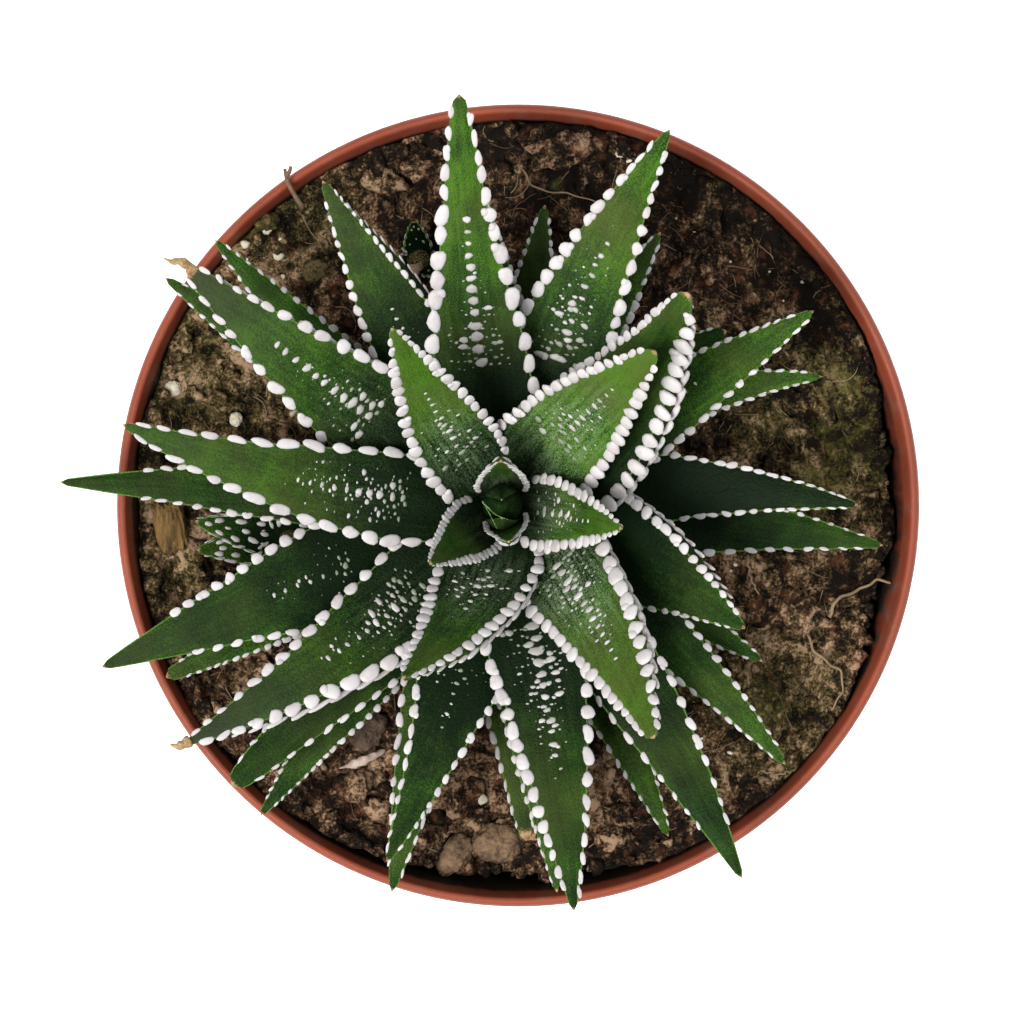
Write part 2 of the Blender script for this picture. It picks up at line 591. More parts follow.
def leafSpine(leaf, u):
    root = headingOf(leaf["rootHeading"]) * leafForm["rootReach"] * min(1, leaf["width"] / 10)
    root[2] = leaf["rootHeight"]
    tip = headingOf(leaf["tipHeading"]) * leaf["reach"]
    tip[2] = leaf["tipHeight"]
    rise = math.atan2(tip[2] - root[2], leaf["reach"])
    handle = np.linalg.norm(tip - root) / 3
    bow = math.radians(leaf["bow"])
    outward = headingOf(leaf["rootHeading"]) * math.cos(rise + bow)
    outward[2] = math.sin(rise + bow)
    arriving = headingOf(2 * leaf["tipHeading"] - leaf["rootHeading"]) * math.cos(rise - bow)
    arriving[2] = math.sin(rise - bow)
    centre = np.array([leaf["x"], leaf["y"], 0.0])
    a = root + centre
    b = root + outward * handle + centre
    c = tip - arriving * handle + centre
    d = tip + centre
    u = u[:, None]
    line = a * (1 - u) ** 3 + 3 * b * u * (1 - u) ** 2 + 3 * c * u ** 2 * (1 - u) + d * u ** 3
    along = (b - a) * (1 - u) ** 2 + 2 * (c - b) * u * (1 - u) + (d - c) * u ** 2
    return line, unitRows(along)


def leafFrame(leaf, u):
    line, along = leafSpine(leaf, u)
    turn = np.radians(leaf["rootHeading"] + (leaf["tipHeading"] - leaf["rootHeading"]) * u)
    across = np.stack([np.sin(turn), -np.cos(turn), 0 * turn], 1)
    across = unitRows(across - along * (across * along).sum(1)[:, None])
    up = np.cross(across, along)
    roll = (math.radians(leaf["roll"]) * riseBetween(u, 0, 0.4))[:, None]
    side = across * np.cos(roll) + up * np.sin(roll)
    face = up * np.cos(roll) - across * np.sin(roll)
    return line, along, side, face


def leafSize(leaf, u):
    taper = np.clip(1 - u, 0, 1) ** 0.92 / leafForm["shoulder"]
    share = taper / (1 + taper ** 4) ** 0.25 * (0.76 + 0.24 * riseBetween(u, 0, 0.25))
    share = share * (1 - leaf["slim"] * riseBetween(u, 0.35, 0.75))
    half = leaf["width"] / 2 * share + leafForm["tipHalfWidth"]
    half = half + leaf["blunt"] * riseBetween(u, 0.7, 1.0)
    wave = 0.018 * np.sin(11 * u + leaf["phase"]) + 0.012 * np.sin(27 * u + 2 * leaf["phase"])
    half = half * (1 + wave)
    swell = leafForm["rootThickness"] + (1 - leafForm["rootThickness"]) * riseBetween(u, 0, 0.3)
    thick = leaf["width"] * leafForm["thickness"] * np.sqrt(share) * swell
    thick = np.maximum(thick, 1.1 * half * riseBetween(u, 0.8, 1.0))
    end = 1 - 1.2 * (leafForm["tipHalfWidth"] + leaf["blunt"]) / leaf["reach"]
    rounded = np.sqrt(np.clip(1 - (np.clip(u - end, 0, 1) / (1 - end)) ** 2, 0.02, 1))
    return half * rounded, thick * rounded


def leafSurface(leaf, u, s, under):
    # a point of the skin: u along the leaf, s from the left margin (-1) to the right one (1)
    line, _, side, face = leafFrame(leaf, u)
    half, thick = leafSize(leaf, u)
    edge = np.clip(np.abs(s), 0, 1)
    crown = leafForm["crown"] * thick * (1 - edge ** 3.5)
    dip = leafForm["channel"] * half * (1 - riseBetween(u, 0.3, 0.8)) * (1 - edge ** 2)
    hump = leafForm["hump"] * half * riseBetween(u, 0.45, 1.0) * (1 - edge ** 2)
    upper = crown - dip + hump
    lower = -leafForm["keel"] * thick * (1 - edge ** 1.7) ** 0.8
    raised = 1 if leaf["roll"] > 0 else -1
    bulge = leaf["flank"] * np.exp(-((s * raised - 0.8) / 0.22) ** 2) * riseBetween(1 - u, 0.02, 0.35)
    bulge = bulge * riseBetween(u, 0.1, 0.3) * riseBetween(1 - edge, 0, 0.12)
    aside = s * half + np.where(under, raised * bulge, 0)
    lift = np.where(under, lower, upper)
    return line + side * aside[:, None] + face * lift[:, None]


def skinDirections(leaf, u, s, under):
    # unit directions across, along and out of the skin
    stepU = 0.004
    stepS = 0.02
    along = unitRows(leafSurface(leaf, u + stepU, s, under) - leafSurface(leaf, u - stepU, s, under))
    across = unitRows(leafSurface(leaf, u, s + stepS, under) - leafSurface(leaf, u, s - stepS, under))
    out = unitRows(np.cross(across, along)) * np.where(under, -1, 1)[:, None]
    return across, along, out


def addLeafBody(shape, leaf, seed):
    length = math.hypot(leaf["reach"], leaf["tipHeight"] - leaf["rootHeight"])
    rows = max(16, int(length / leafForm["rowStep"]))
    u = np.linspace(0, 1, rows)
    u = u + 0.25 * (u * (1 - u)) * (u - 0.5)   # slightly closer rows at the tip
    topS = np.sin(np.linspace(-math.pi / 2, math.pi / 2, leafForm["topPoints"]))
    backS = np.sin(np.linspace(math.pi / 2, -math.pi / 2, leafForm["backPoints"] + 2))[1:-1]
    s = np.concatenate([topS, backS])
    gridU = np.repeat(u, len(s))
    gridS = np.tile(s, rows)
    under = np.tile(np.arange(len(s)) >= len(topS), rows)
    ends = leafSpine(leaf, np.array([0.0, 1.0]))[0]
    points = np.concatenate([leafSurface(leaf, gridU, gridS, under), ends])
    gridU = np.append(gridU, [0, 1])
    gridS = np.append(gridS, [0, 0])
    under = np.append(under, [False, False])
    tone = leaf["tone"] - 0.16 * under + 0.10 * riseBetween(gridU, 0.4, 0.9)
    tone = tone - 0.8 * (1 - riseBetween(gridU, 0.14, leaf["dusk"] + 0.06 * np.abs(gridS)))
    tone = tone + 0.12 * (np.abs(gridS) ** 3 - 0.4)
    bloom = np.exp(-((gridU - leaf["from"] - 0.12) / 0.22) ** 2) * (1 - 0.75 * np.abs(gridS)) * ~under
    bloom = bloom * leaf["frost"] - leaf["ash"] * riseBetween(gridU, 0.45, 0.95)
    dry = riseBetween(gridU, 1 - 1.6 * leaf["dry"] / length, 1 - 0.3 * leaf["dry"] / length)
    across = gridS * leafSize(leaf, gridU)[0]
    # each leaf, and its back, gets its own stretch of the patterns
    place = np.stack([across, gridU * length, np.where(under, 9.0, 0.0) + 23.0 * seed], 1)
    addToShape(shape, points, tubeFaces(rows, len(s)), np.stack([tone, bloom, dry], 1), 0, place)


def sizeAlong(u, taper=0.42):
    # pearls grow smaller towards the tip
    return 0.42 + 0.58 * riseBetween(1 - u, 0.02, taper)


def stepAlong(leaf, s, under, first, last, pitch, rng):
    # places along a lengthwise line of the leaf, one pitch apart
    u = np.linspace(0.01, 0.995, 260)
    points = leafSurface(leaf, u, np.full(len(u), float(s)), np.full(len(u), under))
    travelled = np.concatenate([[0], np.cumsum(np.linalg.norm(np.diff(points, axis=0), axis=1))])
    place = np.interp(first, u, travelled) + pitch * rng.uniform(0, 0.6)
    end = np.interp(last, u, travelled)
    found = []
    while place < end:
        here = float(np.interp(place, travelled, u))
        found.append(here)
        place += pitch * (0.7 + 0.3 * sizeAlong(here)) * rng.uniform(0.84, 1.16)
    return np.array(found)


# a rounded tooth, a pointed lens, and a low dome for what stands on the skin
toothBead = beadForm(12, 6, -math.pi / 2, 2.5, 0.8, 0.8)
lensBead = beadForm(12, 6, -math.pi / 2, 1.55, 0.85, 0.85)
lowBead = beadForm(8, 3, -0.35)

pearlForm = {
    "from": 0.13,          # margin pearls start here along the leaf
    "height": 0.34,        # half height, share of the half width
    "outward": 0.08,       # how far a pearl stands out over the margin, share of its half width
    "slant": 0.14,         # turn of a pearl against the margin, in radians
    "twins": 0.16,         # share of pearls with a second one grown against them
    "uneven": 0.09,        # how far an outline strays from a plain oval
    "line": 0.13,          # radius of the pale edge that joins the pearls
    "backRow": 2.6,        # spacing of the bands on the back
    "backSpacing": 1.7,    # spacing of the tubercles in a band
}


def marginFrame(leaf, u, margin):
    # directions at a margin: out over it, along it and up
    s = np.full(len(u), float(margin))
    flags = np.zeros(len(u), bool)
    side, face = leafFrame(leaf, u)[2:]
    ahead = unitRows(leafSurface(leaf, u + 0.004, s, flags) - leafSurface(leaf, u - 0.004, s, flags))
    outward = unitRows(side * margin - ahead * (side * margin * ahead).sum(1)[:, None])
    lift = np.cross(outward, ahead)
    lift = lift * np.sign((lift * face).sum(1))[:, None]
    return leafSurface(leaf, u, s, flags), outward, ahead, lift


def addMarginPearls(shape, leaf, margin, rng):
    pitch, broad, fill = leaf["left"] if margin < 0 else leaf["right"]
    u = stepAlong(leaf, margin, False, pearlForm["from"], leaf["until"], pitch, rng)
    centres, outward, ahead, lift = marginFrame(leaf, u, margin)
    if margin * leaf["roll"] > 0:
        outward[:, 2] *= 1 - leaf["level"]
        outward = unitRows(outward - ahead * (outward * ahead).sum(1)[:, None])
        lift = np.cross(outward, ahead) * margin
    slant = rng.normal(-pearlForm["slant"], 0.12, len(u))[:, None]
    outward, ahead = (outward * np.cos(slant) + ahead * np.sin(slant),
                      ahead * np.cos(slant) - outward * np.sin(slant))
    axes = (outward, ahead, lift)
    size = sizeAlong(u, leaf["taper"])
    wide = broad * size * rng.uniform(0.84, 1.14, len(u))
    long = 0.5 * fill * pitch * (0.6 + 0.4 * size) * rng.uniform(0.86, 1.14, len(u))
    high = pearlForm["height"] * wide
    centres = centres + outward * (pearlForm["outward"] * wide)[:, None] + lift * (0.1 * wide)[:, None]
    lens = rng.uniform(0, 1, len(u)) < leaf["lens"]
    for form, chosen in ((toothBead, ~lens), (lensBead, lens)):
        tones = rng.uniform(0.5, 1.1, chosen.sum())
        addBeads(shape, form, centres, axes, (wide, long, high), tones, rng, pearlForm["uneven"],
                 chosen=chosen)
    twin = rng.uniform(0, 1, len(u)) < pearlForm["twins"]
    shift = ahead * (0.6 * long)[:, None] - outward * (0.5 * wide)[:, None] + lift * (0.1 * wide)[:, None]
    addBeads(shape, toothBead, centres + shift, axes, (0.6 * wide, 0.5 * long, 0.8 * high),
             rng.uniform(0.65, 1.1, twin.sum()), rng, chosen=twin)


def addMargins(shape, leaf, rng):
    # the pearls, and the thin pale edge under them
    u = np.linspace(0.12, 0.985, 44)
    for margin in (-1, 1):
        addMarginPearls(shape, leaf, margin, rng)
        centres, outward = marginFrame(leaf, u, margin)[:2]
        radii = pearlForm["line"] * np.interp(u, [0.12, 0.2, 0.9, 1], [0.4, 1, 0.8, 0.4])
        addTube(shape, centres + outward * 0.02, radii, 5, (0.95, 0.35, 0.0))


def addFlankPearls(shape, leaf, rng):
    # the second row, on the flank below the raised margin
    raised = 1 if leaf["roll"] > 0 else -1
    pitch, broad, fill = leaf["left"] if raised < 0 else leaf["right"]
    u = stepAlong(leaf, 0.82 * raised, True, 0.2, leaf["until"] - 0.05, 1.15 * pitch, rng)
    centres = leafSurface(leaf, u, np.full(len(u), 0.82 * raised), np.ones(len(u), bool))
    along, side, face = leafFrame(leaf, u)[1:]
    out = unitRows(side * raised + 0.25 * face)
    lift = unitRows(np.cross(out, along))
    lift = lift * np.sign((lift * face).sum(1))[:, None]
    size = sizeAlong(u, leaf["taper"])
    wide = 0.48 * broad * size * rng.uniform(0.85, 1.15, len(u))
    long = 0.72 * fill * pitch * (0.5 + 0.5 * size) * rng.uniform(0.85, 1.15, len(u))
    addBeads(shape, toothBead, centres + out * 0.1, (out, along, lift), (wide, long, 0.7 * wide),
             rng.uniform(0.15, 0.85, len(u)), rng)


def addSkinBeads(shape, leaf, u, s, under, sizes, tones, rng, wobble=0.06, veil=0.0):
    # low domes that stand on the skin
    flags = np.full(len(u), under)
    addBeads(shape, lowBead, leafSurface(leaf, u, s, flags), skinDirections(leaf, u, s, flags), sizes,
             tones, rng, wobble, veil)


def addBackBands(shape, leaf, rng):
    # cross bands of low white tubercles over the back of the leaf
    spots = []
    for here in stepAlong(leaf, 0.0, True, 0.3, 0.95, pearlForm["backRow"], rng):
        half = float(leafSize(leaf, np.array([here]))[0][0])
        count = max(2, int(2.5 * half / pearlForm["backSpacing"]))
        slant = rng.uniform(-0.012, 0.012)
        for s in (np.arange(count) + 0.5) / count * 1.7 - 0.85:
            u = here + slant * s * 2 + rng.uniform(-0.008, 0.008) - 0.02 * s * s
            spots.append((u, s + rng.uniform(-0.05, 0.05), sizeAlong(here) * rng.uniform(0.7, 1.15)))
    u, s, size = np.array(spots).T
    addSkinBeads(shape, leaf, np.clip(u, 0.05, 0.985), np.clip(s, -0.93, 0.93), True,
                 (-0.7 * size, 0.4 * size, 0.38 * size), rng.uniform(0.5, 1.0, len(u)), rng)


dotForm = {
    "rows": (-0.62, -0.48, -0.35, -0.23, -0.12, 0.0, 0.12, 0.23, 0.35, 0.48, 0.62),
    "pitch": 1.2,
    "middle": 0.68,        # half width of a dot of the middle row
    "beside": 0.37,
    "along": 0.68,         # length of a dot, share of its width
    "height": 0.36,
}


def addFaceDots(shape, leaf, rng):
    # small white dots in lengthwise rows over the base of the upper face
    spots = []
    strong = 0.55 + 0.45 * leaf["dots"]
    first = leaf["from"]
    for row in dotForm["rows"]:
        last = leaf["spread"] * (1 - 0.45 * abs(row) ** 1.2) + rng.uniform(-0.07, 0.05)
        middle = row == 0
        pitch = dotForm["pitch"] * (1.35 if middle else 0.8)
        for here in stepAlong(leaf, row, False, first, max(first + 0.06, last), pitch, rng):
            fade = 1 - (0.4 if middle else 0.6) * riseBetween(here, 0.6 * last, last)
            if not middle and rng.uniform() > 0.12 + 0.5 * fade * min(1, leaf["dots"]):
                continue
            base = dotForm["middle"] if middle else dotForm["beside"] * rng.choice(
                [0.5, 0.8, 1.2, 1.9], p=[0.34, 0.34, 0.2, 0.12])
            s = row + rng.normal(0, 0.02)
            size = base * fade * rng.uniform(0.7, 1.15) * (strong if middle else min(1, strong))
            spots.append((here, s, size, 1 - riseBetween(here, first, first + 0.16)))
    u, s, size, faded = np.array(spots).T
    veil = np.clip(0.12 + 0.8 * faded + rng.normal(0, 0.15, len(u)), 0, 0.92)
    veil = veil * np.where(size > dotForm["beside"] * 1.6, 0.4, 1.0)
    sizes = (size, dotForm["along"] * size, dotForm["height"] * np.minimum(size, 0.5))
    addSkinBeads(shape, leaf, u, s, False, sizes, rng.uniform(0.3, 1.0, len(u)), rng, 0.14, veil)


def addWitheredEnd(shape, leaf, steps):
    corners = leafSpine(leaf, np.array([1.0]))[0][0] + np.array(steps)
    line = smoothLine(corners, 4 * len(corners), 1)
    reach = np.linspace(0, len(corners) - 1, len(line))
    radii = np.interp(reach / reach[-1], [0, 0.25, 0.6, 1], [0.75, 0.72, 0.5, 0.08])
    addTube(shape, line, radii * (1 + 0.15 * np.sin(5 * reach)), 7, (0.3, 0.0, 1.0), 0.45)


def buildLeaf(leaf, seed):
    rng = np.random.default_rng(leafForm["seed"] + seed)
    shape = newShape()
    addLeafBody(shape, leaf, seed)
    addMargins(shape, leaf, rng)
    if leaf["flank"] > 0:
        addFlankPearls(shape, leaf, rng)
    addBackBands(shape, leaf, rng)
    if leaf["dots"] > 0:
        addFaceDots(shape, leaf, rng)
    if leaf["name"] in witheredEnds:
        addWitheredEnd(shape, leaf, witheredEnds[leaf["name"]])
    makePiece(leaf["name"] + "_pearled", shape, [leafSkin, pearlWhite], leaf["name"])


for seed, row in enumerate(leafList):
    buildLeaf(readLeaf(row), seed)
print("leaves built:", len(leafList))

# Pups beside the rosette: heading, reach, height of the tip and width of each leaf
# bar: half width of the white bars on the upper face, and how many times longer they are
pupList = [
    {"name": "pup_left", "x": -30, "y": -4.6, "rootHeight": 80.4, "tone": 0.42, "bar": (0.3, 2.3),
     "left": (1.9, 0.26, 1.0), "right": (2.1, 0.28, 1.0),
     "leaves": [(168, 12.4, 86, 5.2), (186, 12, 85.2, 5.6), (236, 8, 86, 5), (90, 7, 86, 5)]},
    {"name": "pup_back", "x": -13, "y": 32.4, "rootHeight": 79.6, "tone": 0.0, "bar": (0.13, 1.8),
     "left": (1.4, 0.2, 0.8), "right": (1.5, 0.2, 0.8),
     "leaves": [(98, 4.8, 85, 3.4), (212, 3.8, 84.4, 3.2), (335, 3.6, 84.8, 3.2)]},
]
pupForm = {"bow": -10, "stubDepth": 7, "barRows": (-0.52, 0.0, 0.52), "barPitch": 2.8, "seed": 2000}


def youngLeaf(heading, reach, tipHeight, width, **rest):
    return {**leafUsual, "rootHeading": heading, "tipHeading": heading, "reach": reach,
            "tipHeight": tipHeight, "width": width, "roll": 0, **rest}


def addPupBars(shape, leaf, rng):
    # white bars that lie lengthwise on the young leaves
    broad, stretch = leaf["bar"]
    for row in pupForm["barRows"]:
        u = stepAlong(leaf, row, False, 0.2, 0.88, pupForm["barPitch"], rng)
        s = np.full(len(u), row) + rng.normal(0, 0.05, len(u))
        size = broad * rng.uniform(0.75, 1.2, len(u)) * (1.25 if row else 1.0)
        addSkinBeads(shape, leaf, u, s, False, (size, stretch * size, 0.5 * size),
                     rng.uniform(0.4, 0.9, len(u)), rng, 0.1, 0.12)


def buildPup(pup, seed):
    rng = np.random.default_rng(pupForm["seed"] + seed)
    shape = newShape()
    for index, row in enumerate(pup["leaves"]):
        leaf = youngLeaf(*row, **pup, bow=pupForm["bow"], dry=0.2, phase=2.0 * index)
        addLeafBody(shape, leaf, 60 + 5 * seed + index)
        addMargins(shape, leaf, rng)
        addPupBars(shape, leaf, rng)
    top = pup["rootHeight"] + 1
    line = [(pup["x"], pup["y"], top - pupForm["stubDepth"] * share) for share in (1, 0.75, 0.5, 0.25, 0)]
    addTube(shape, line, [1.2, 1.35, 1.5, 1.6, 1.3], 12, (0.2, 0.0, 0.4))
    makePiece(pup["name"] + "_pearled", shape, [leafSkin, pearlWhite], pup["name"])


for seed, pup in enumerate(pupList):
    buildPup(pup, seed)
print("pups built")

# The youngest leaflets in the heart of the bud, and two pale threads over them:
# heading, reach, height of the tip, width and tone of each leaflet
budHeart = {
    "rootHeight": 97.5, "bow": -14,
    "leaflets": [(268, 1.5, 109.6, 4.8, 0.4), (98, 0.6, 109.2, 4.6, 0.3)],
    "threads": [[(-4.5, 0.5, 110.2), (-3.7, -0.9, 111.1), (-2.7, -2.9, 110.4)],
                [(-4.2, 0.1, 110.6), (-2.9, -1.2, 110.9), (-1.3, -1.8, 109.8)]],
    "threadRadius": 0.07,
    "cone": [(96, 2.6), (99, 2.5), (102, 1.8), (105, 0.9), (107, 0.2)],   # height and radius
}


def buildBudHeart(heart):
    shape = newShape()
    x, y = leafForm["x"], leafForm["y"]
    for index, (*row, tone) in enumerate(heart["leaflets"]):
        leaf = youngLeaf(*row, x=x, y=y, rootHeight=heart["rootHeight"], bow=heart["bow"],
                         phase=1.3 * index, slim=0.0, tone=tone, dry=0.1)
        addLeafBody(shape, leaf, 80 + index)
    heights, radii = zip(*heart["cone"])
    addTube(shape, [(x, y, z) for z in heights], radii, 18, (0.12, 0.0, 0.0))
    for corners in heart["threads"]:
        radii = heart["threadRadius"] * np.interp(np.arange(14), [0, 4, 13], [1.6, 1.0, 0.5])
        addTube(shape, smoothLine(corners, 14), radii, 6, (1.0, 1.0, 0.0))
    makePiece("bud_heart", shape, [leafSkin, pearlWhite])


buildBudHeart(budHeart)
print("bud heart built")

# Pot: a moulded nursery pot of terracotta-coloured plastic
potForm = {
    "height": 86, "rimRadius": 52.5, "footRadius": 37, "lipWidth": 1.45, "wall": 1.3,
    "collarHeight": 11, "collarStep": 1.5, "collarFlare": 0.8, "chamfer": 1.2,
    "footRing": 2, "padRadius": 25, "channelRise": 2.4, "floor": 1.6,
    "drainRadius": 3, "drains": 6, "segments": 216, "filletSteps": 5,
    "smear": (-16, 5),     # heading and spread of a dusty smear on the inner wall
    "bare": (5, 32),       # heading and spread of the part where the soil's stain starts lower
    "stained": (81.6, 83.9),
}
potColours = {
    "main": (0.295, 0.064, 0.030),
    "deep": (0.20, 0.042, 0.023),
    "dust": (0.24, 0.17, 0.13),
    "soilMark": (0.012, 0.007, 0.0045),
    "roughness": 0.5,
}


def potMaterial(colours):
    material, tree = newMaterial("pottedPlastic")
    place = objectPlace(tree)
    dust, mark = splitVector(tree, attributeOf(tree, "look"))[1:]
    cloud = noiseOf(tree, place, 60, 4, 0.6)
    smears = noiseOf(tree, stretched(tree, place, 1.0, 1.0, 0.25), 420, 5, 0.65)
    specks = noiseOf(tree, place, 2600, 2, 0.5)
    plastic = blendOf(tree, rangeOf(tree, cloud, 0.35, 0.65, 0.0, 0.35), colours["main"], colours["deep"])
    dusty = mathOf(tree, "MULTIPLY", rangeOf(tree, smears, 0.5, 0.72), dust)
    plastic = blendOf(tree, dusty, plastic, colours["dust"])
    marked = rangeOf(tree, varied(tree, mark, (smears, 0.35, 0.65, -0.16, 0.16)), 0.15, 0.85)
    rough = colours["roughness"]
    return dress(material, {
        "Base Color": blendOf(tree, marked, plastic, colours["soilMark"]),
        "Roughness": rangeOf(tree, smears, 0.3, 0.7, rough - 0.08, rough + 0.16),
        "Specular IOR Level": 0.3,
        "Normal": bumpsOf(tree, (specks, 0.2, 0.00008), (smears, 0.10, 0.0003))})


def softenOutline(corners, steps):
    # a lathe outline with each corner replaced by a short curve of that corner's size
    points = []
    for index, (r, z, size) in enumerate(corners):
        here = np.array([r, z], float)
        if size == 0 or index in (0, len(corners) - 1):
            points.append(here)
            continue
        before, after = [np.array(corners[index + step][:2], float) - here for step in (-1, 1)]
        reach = min(size, 0.48 * np.linalg.norm(before), 0.48 * np.linalg.norm(after))
        a = here + before / np.linalg.norm(before) * reach
        b = here + after / np.linalg.norm(after) * reach
        for t in np.linspace(0, 1, steps):
            points.append(a * (1 - t) ** 2 + 2 * here * t * (1 - t) + b * t ** 2)
    return np.array(points)


def innerRadius(height):
    low = potForm["channelRise"] + potForm["floor"]
    bottom = potForm["footRadius"] - potForm["wall"]
    top = potForm["rimRadius"] - potForm["lipWidth"]
    return bottom + (top - bottom) * (height - low) / (potForm["height"] - 1 - low)


def potOutline(form):
    # from the middle of the floor out, up and over the rim, and back in: radius, height and rounding
    rim, top, pad, foot = form["rimRadius"], form["height"], form["padRadius"], form["footRadius"]
    slope, rise, floor, wall = form["chamfer"], form["channelRise"], form["floor"], form["wall"]
    collarFoot = top - form["collarHeight"]
    footInside = foot - form["footRing"]
    collar = rim - form["collarFlare"]
    groove = 0.12   # two thin moulded lines round the collar
    return [
        (0, 0, 0), (pad, 0, 0.5), (pad + slope, rise, 0.5), (footInside - slope, rise, 0.5),
        (footInside, 0, 0.4), (foot, 0, 0.7), (foot + 0.35, 1.6, 0.4), (foot + 0.25, 2.0, 0.3),
        (innerRadius(collarFoot) + wall, collarFoot - form["collarStep"], 0.6),
        (collar, collarFoot, 0.5), (collar + 0.10, collarFoot + 1.5, 0.2),
        (collar - groove, collarFoot + 1.8, 0.15), (collar + 0.18, collarFoot + 2.1, 0.2),
        (rim, top - 1.4, 0.5), (rim - 0.06, top - 0.7, 0.3), (rim - 0.38, top - 0.14, 0.3),
        (rim - 0.8, top, 0.3), (rim - 1.2, top - 0.2, 0.3), (rim - form["lipWidth"], top - 1, 0.4),
        (innerRadius(top - 2.5), top - 2.5, 0), (innerRadius(82), 82, 0),
        (foot - wall, rise + floor, 1.0), (pad, rise + floor, 0.5), (pad - slope, floor, 0.5),
        (0, floor, 0),
    ]


def buildPot(form):
    outline = softenOutline(potOutline(form), form["filletSteps"])
    rows = [outline[0]]
    for start, end in zip(outline[:-1], outline[1:]):
        cuts = max(1, int(np.linalg.norm(end - start) / 6))   # long straight stretches get more rows
        rows += [start + (end - start) * cut / cuts for cut in range(1, cuts + 1)]
    rows = np.array(rows[1:-1])
    angle = roundSteps(form["segments"])
    points = np.stack([rows[:, :1] * np.cos(angle), rows[:, :1] * np.sin(angle),
                       np.repeat(rows[:, 1:], len(angle), 1)], 2).reshape(-1, 3)
    points = np.concatenate([points, [[0, 0, 0], [0, 0, form["floor"]]]])
    shape = newShape()
    addToShape(shape, points, tubeFaces(len(rows), len(angle), True))
    pot = makePiece("moulded_pot", shape, [potMaterial(potColours)], "pot")
    cutDrains(pot, form)
    markPot(pot, form)


def markPot(pot, form):
    # where the plastic is dusty, and where soil has stained it
    count = len(pot.data.vertices)
    flat = np.zeros(3 * count)
    pot.data.vertices.foreach_get("co", flat)
    points = flat.reshape(-1, 3) / mm
    height = points[:, 2]
    inside = np.hypot(points[:, 0], points[:, 1]) < innerRadius(height) + 0.3 * form["wall"]
    around = np.degrees(np.arctan2(points[:, 1], points[:, 0]))
    smear, bare = [np.exp(-((around - at) / spread) ** 2) for at, spread in (form["smear"], form["bare"])]
    smear = smear * inside * riseBetween(height, 78, 82)
    smear = smear * (1 - 0.95 * riseBetween(height, 82.5, 84))
    dust = 0.12 + 0.15 * inside + 0.35 * riseBetween(-height, -6, 0) + 1.2 * smear
    mark = np.where(inside, 1.05 - 1.05 * riseBetween(height + 0.8 * bare, *form["stained"]), 0.0)
    mark = mark + 0.25 * riseBetween(-height, -3, 0) - 0.45 * smear
    looks = np.stack([0 * height, dust, mark], 1).astype(np.float32)
    layer = pot.data.attributes.get("look") or pot.data.attributes.new("look", "FLOAT_VECTOR", "POINT")
    layer.data.foreach_set("vector", looks.ravel())


def cutDrains(pot, form):
    shape = newShape()
    circle = (form["padRadius"] + form["footRadius"] - form["footRing"]) / 2
    for index in range(form["drains"]):
        angle = 2 * math.pi * (index + 0.5) / form["drains"]
        x, y = circle * math.cos(angle), circle * math.sin(angle)
        line = [(x, y, form["channelRise"] - 3), (x, y, form["channelRise"] + 3)]
        addTube(shape, line, [form["drainRadius"]] * 2, 40, (0.5, 0.2, 0.3))
    mesh = bpy.data.meshes.new("drainCutters")
    mesh.from_pydata((np.concatenate(shape["points"]) * mm).tolist(), [], shape["faces"])
    cutter = addObject("drainCutters", mesh)
    modifier = pot.modifiers.new("drains", "BOOLEAN")
    modifier.operation = "DIFFERENCE"
    modifier.solver = "EXACT"
    modifier.object = cutter
    bpy.context.view_layer.update()
    whole = bpy.data.meshes.new_from_object(pot.evaluated_get(bpy.context.evaluated_depsgraph_get()))
    pot.modifiers.clear()
    pot.data = whole
    bpy.data.objects.remove(cutter)


buildPot(potForm)
print("pot built")

# Soil: peat with crumbs, moss, fibres and grit
soilForm = {
    "level": 79.3, "shrink": 2.0, "gap": 0.15, "edgeDrop": 0.25,
    # height and inset of the rings under the surface, down to the floor
    "sides": ((77.6, 1.1), (76, 0.8), (74, 0.3), (40, 0.3), (4.4, 0.3)),
    "rings": 116, "segments": 520,
    "bank": 4.0,                       # the soil is heaped up by this much along the wall
    "bankFrom": 43,
    "bankTop": 83.5,
    # heading, spread and share of the places where it has shrunk away
    "cracks": ((-15, 11, 1.0), (6, 12, 0.7), (268, 20, 0.9)),
    "shades": ((50, 48), (268, 34), (-14, 12)),   # where the soil along the wall is damp and dark
}
soilColours = {
    "black": (0.006, 0.0035, 0.002),
    "dark": (0.026, 0.0145, 0.008),
    "brown": (0.135, 0.072, 0.040),
    "tan": (0.40, 0.265, 0.165),
    "olive": (0.105, 0.085, 0.026),
    "moss": (0.050, 0.050, 0.011),
    "mossBright": (0.19, 0.175, 0.040),
    "rust": (0.20, 0.065, 0.022),
}
# Stones, perlite and bark bedded in the soil: place, half sizes and turn, as in the solids
pebbleList = [
    ("stone_long", -8.3, -46, (2, 3.4, 1.8), -37, "stone"),
    ("stone_round", -2.6, -44.4, (3.3, 2.9, 2.2), 20, "stone"),
    ("stone_grey", -20.2, -29.4, (3, 2.8, 2), 50, "grey"),
    ("perlite_1", -45.6, 15.4, (1.3, 1.2, 1), 0, "perlite"),
    ("perlite_2", -37.2, 11.4, (0.9, 0.9, 0.7), 30, "perlite"),
    ("bark_chip", -45.8, -3, (2.3, 3.7, 1.5), 12, "bark"),
]
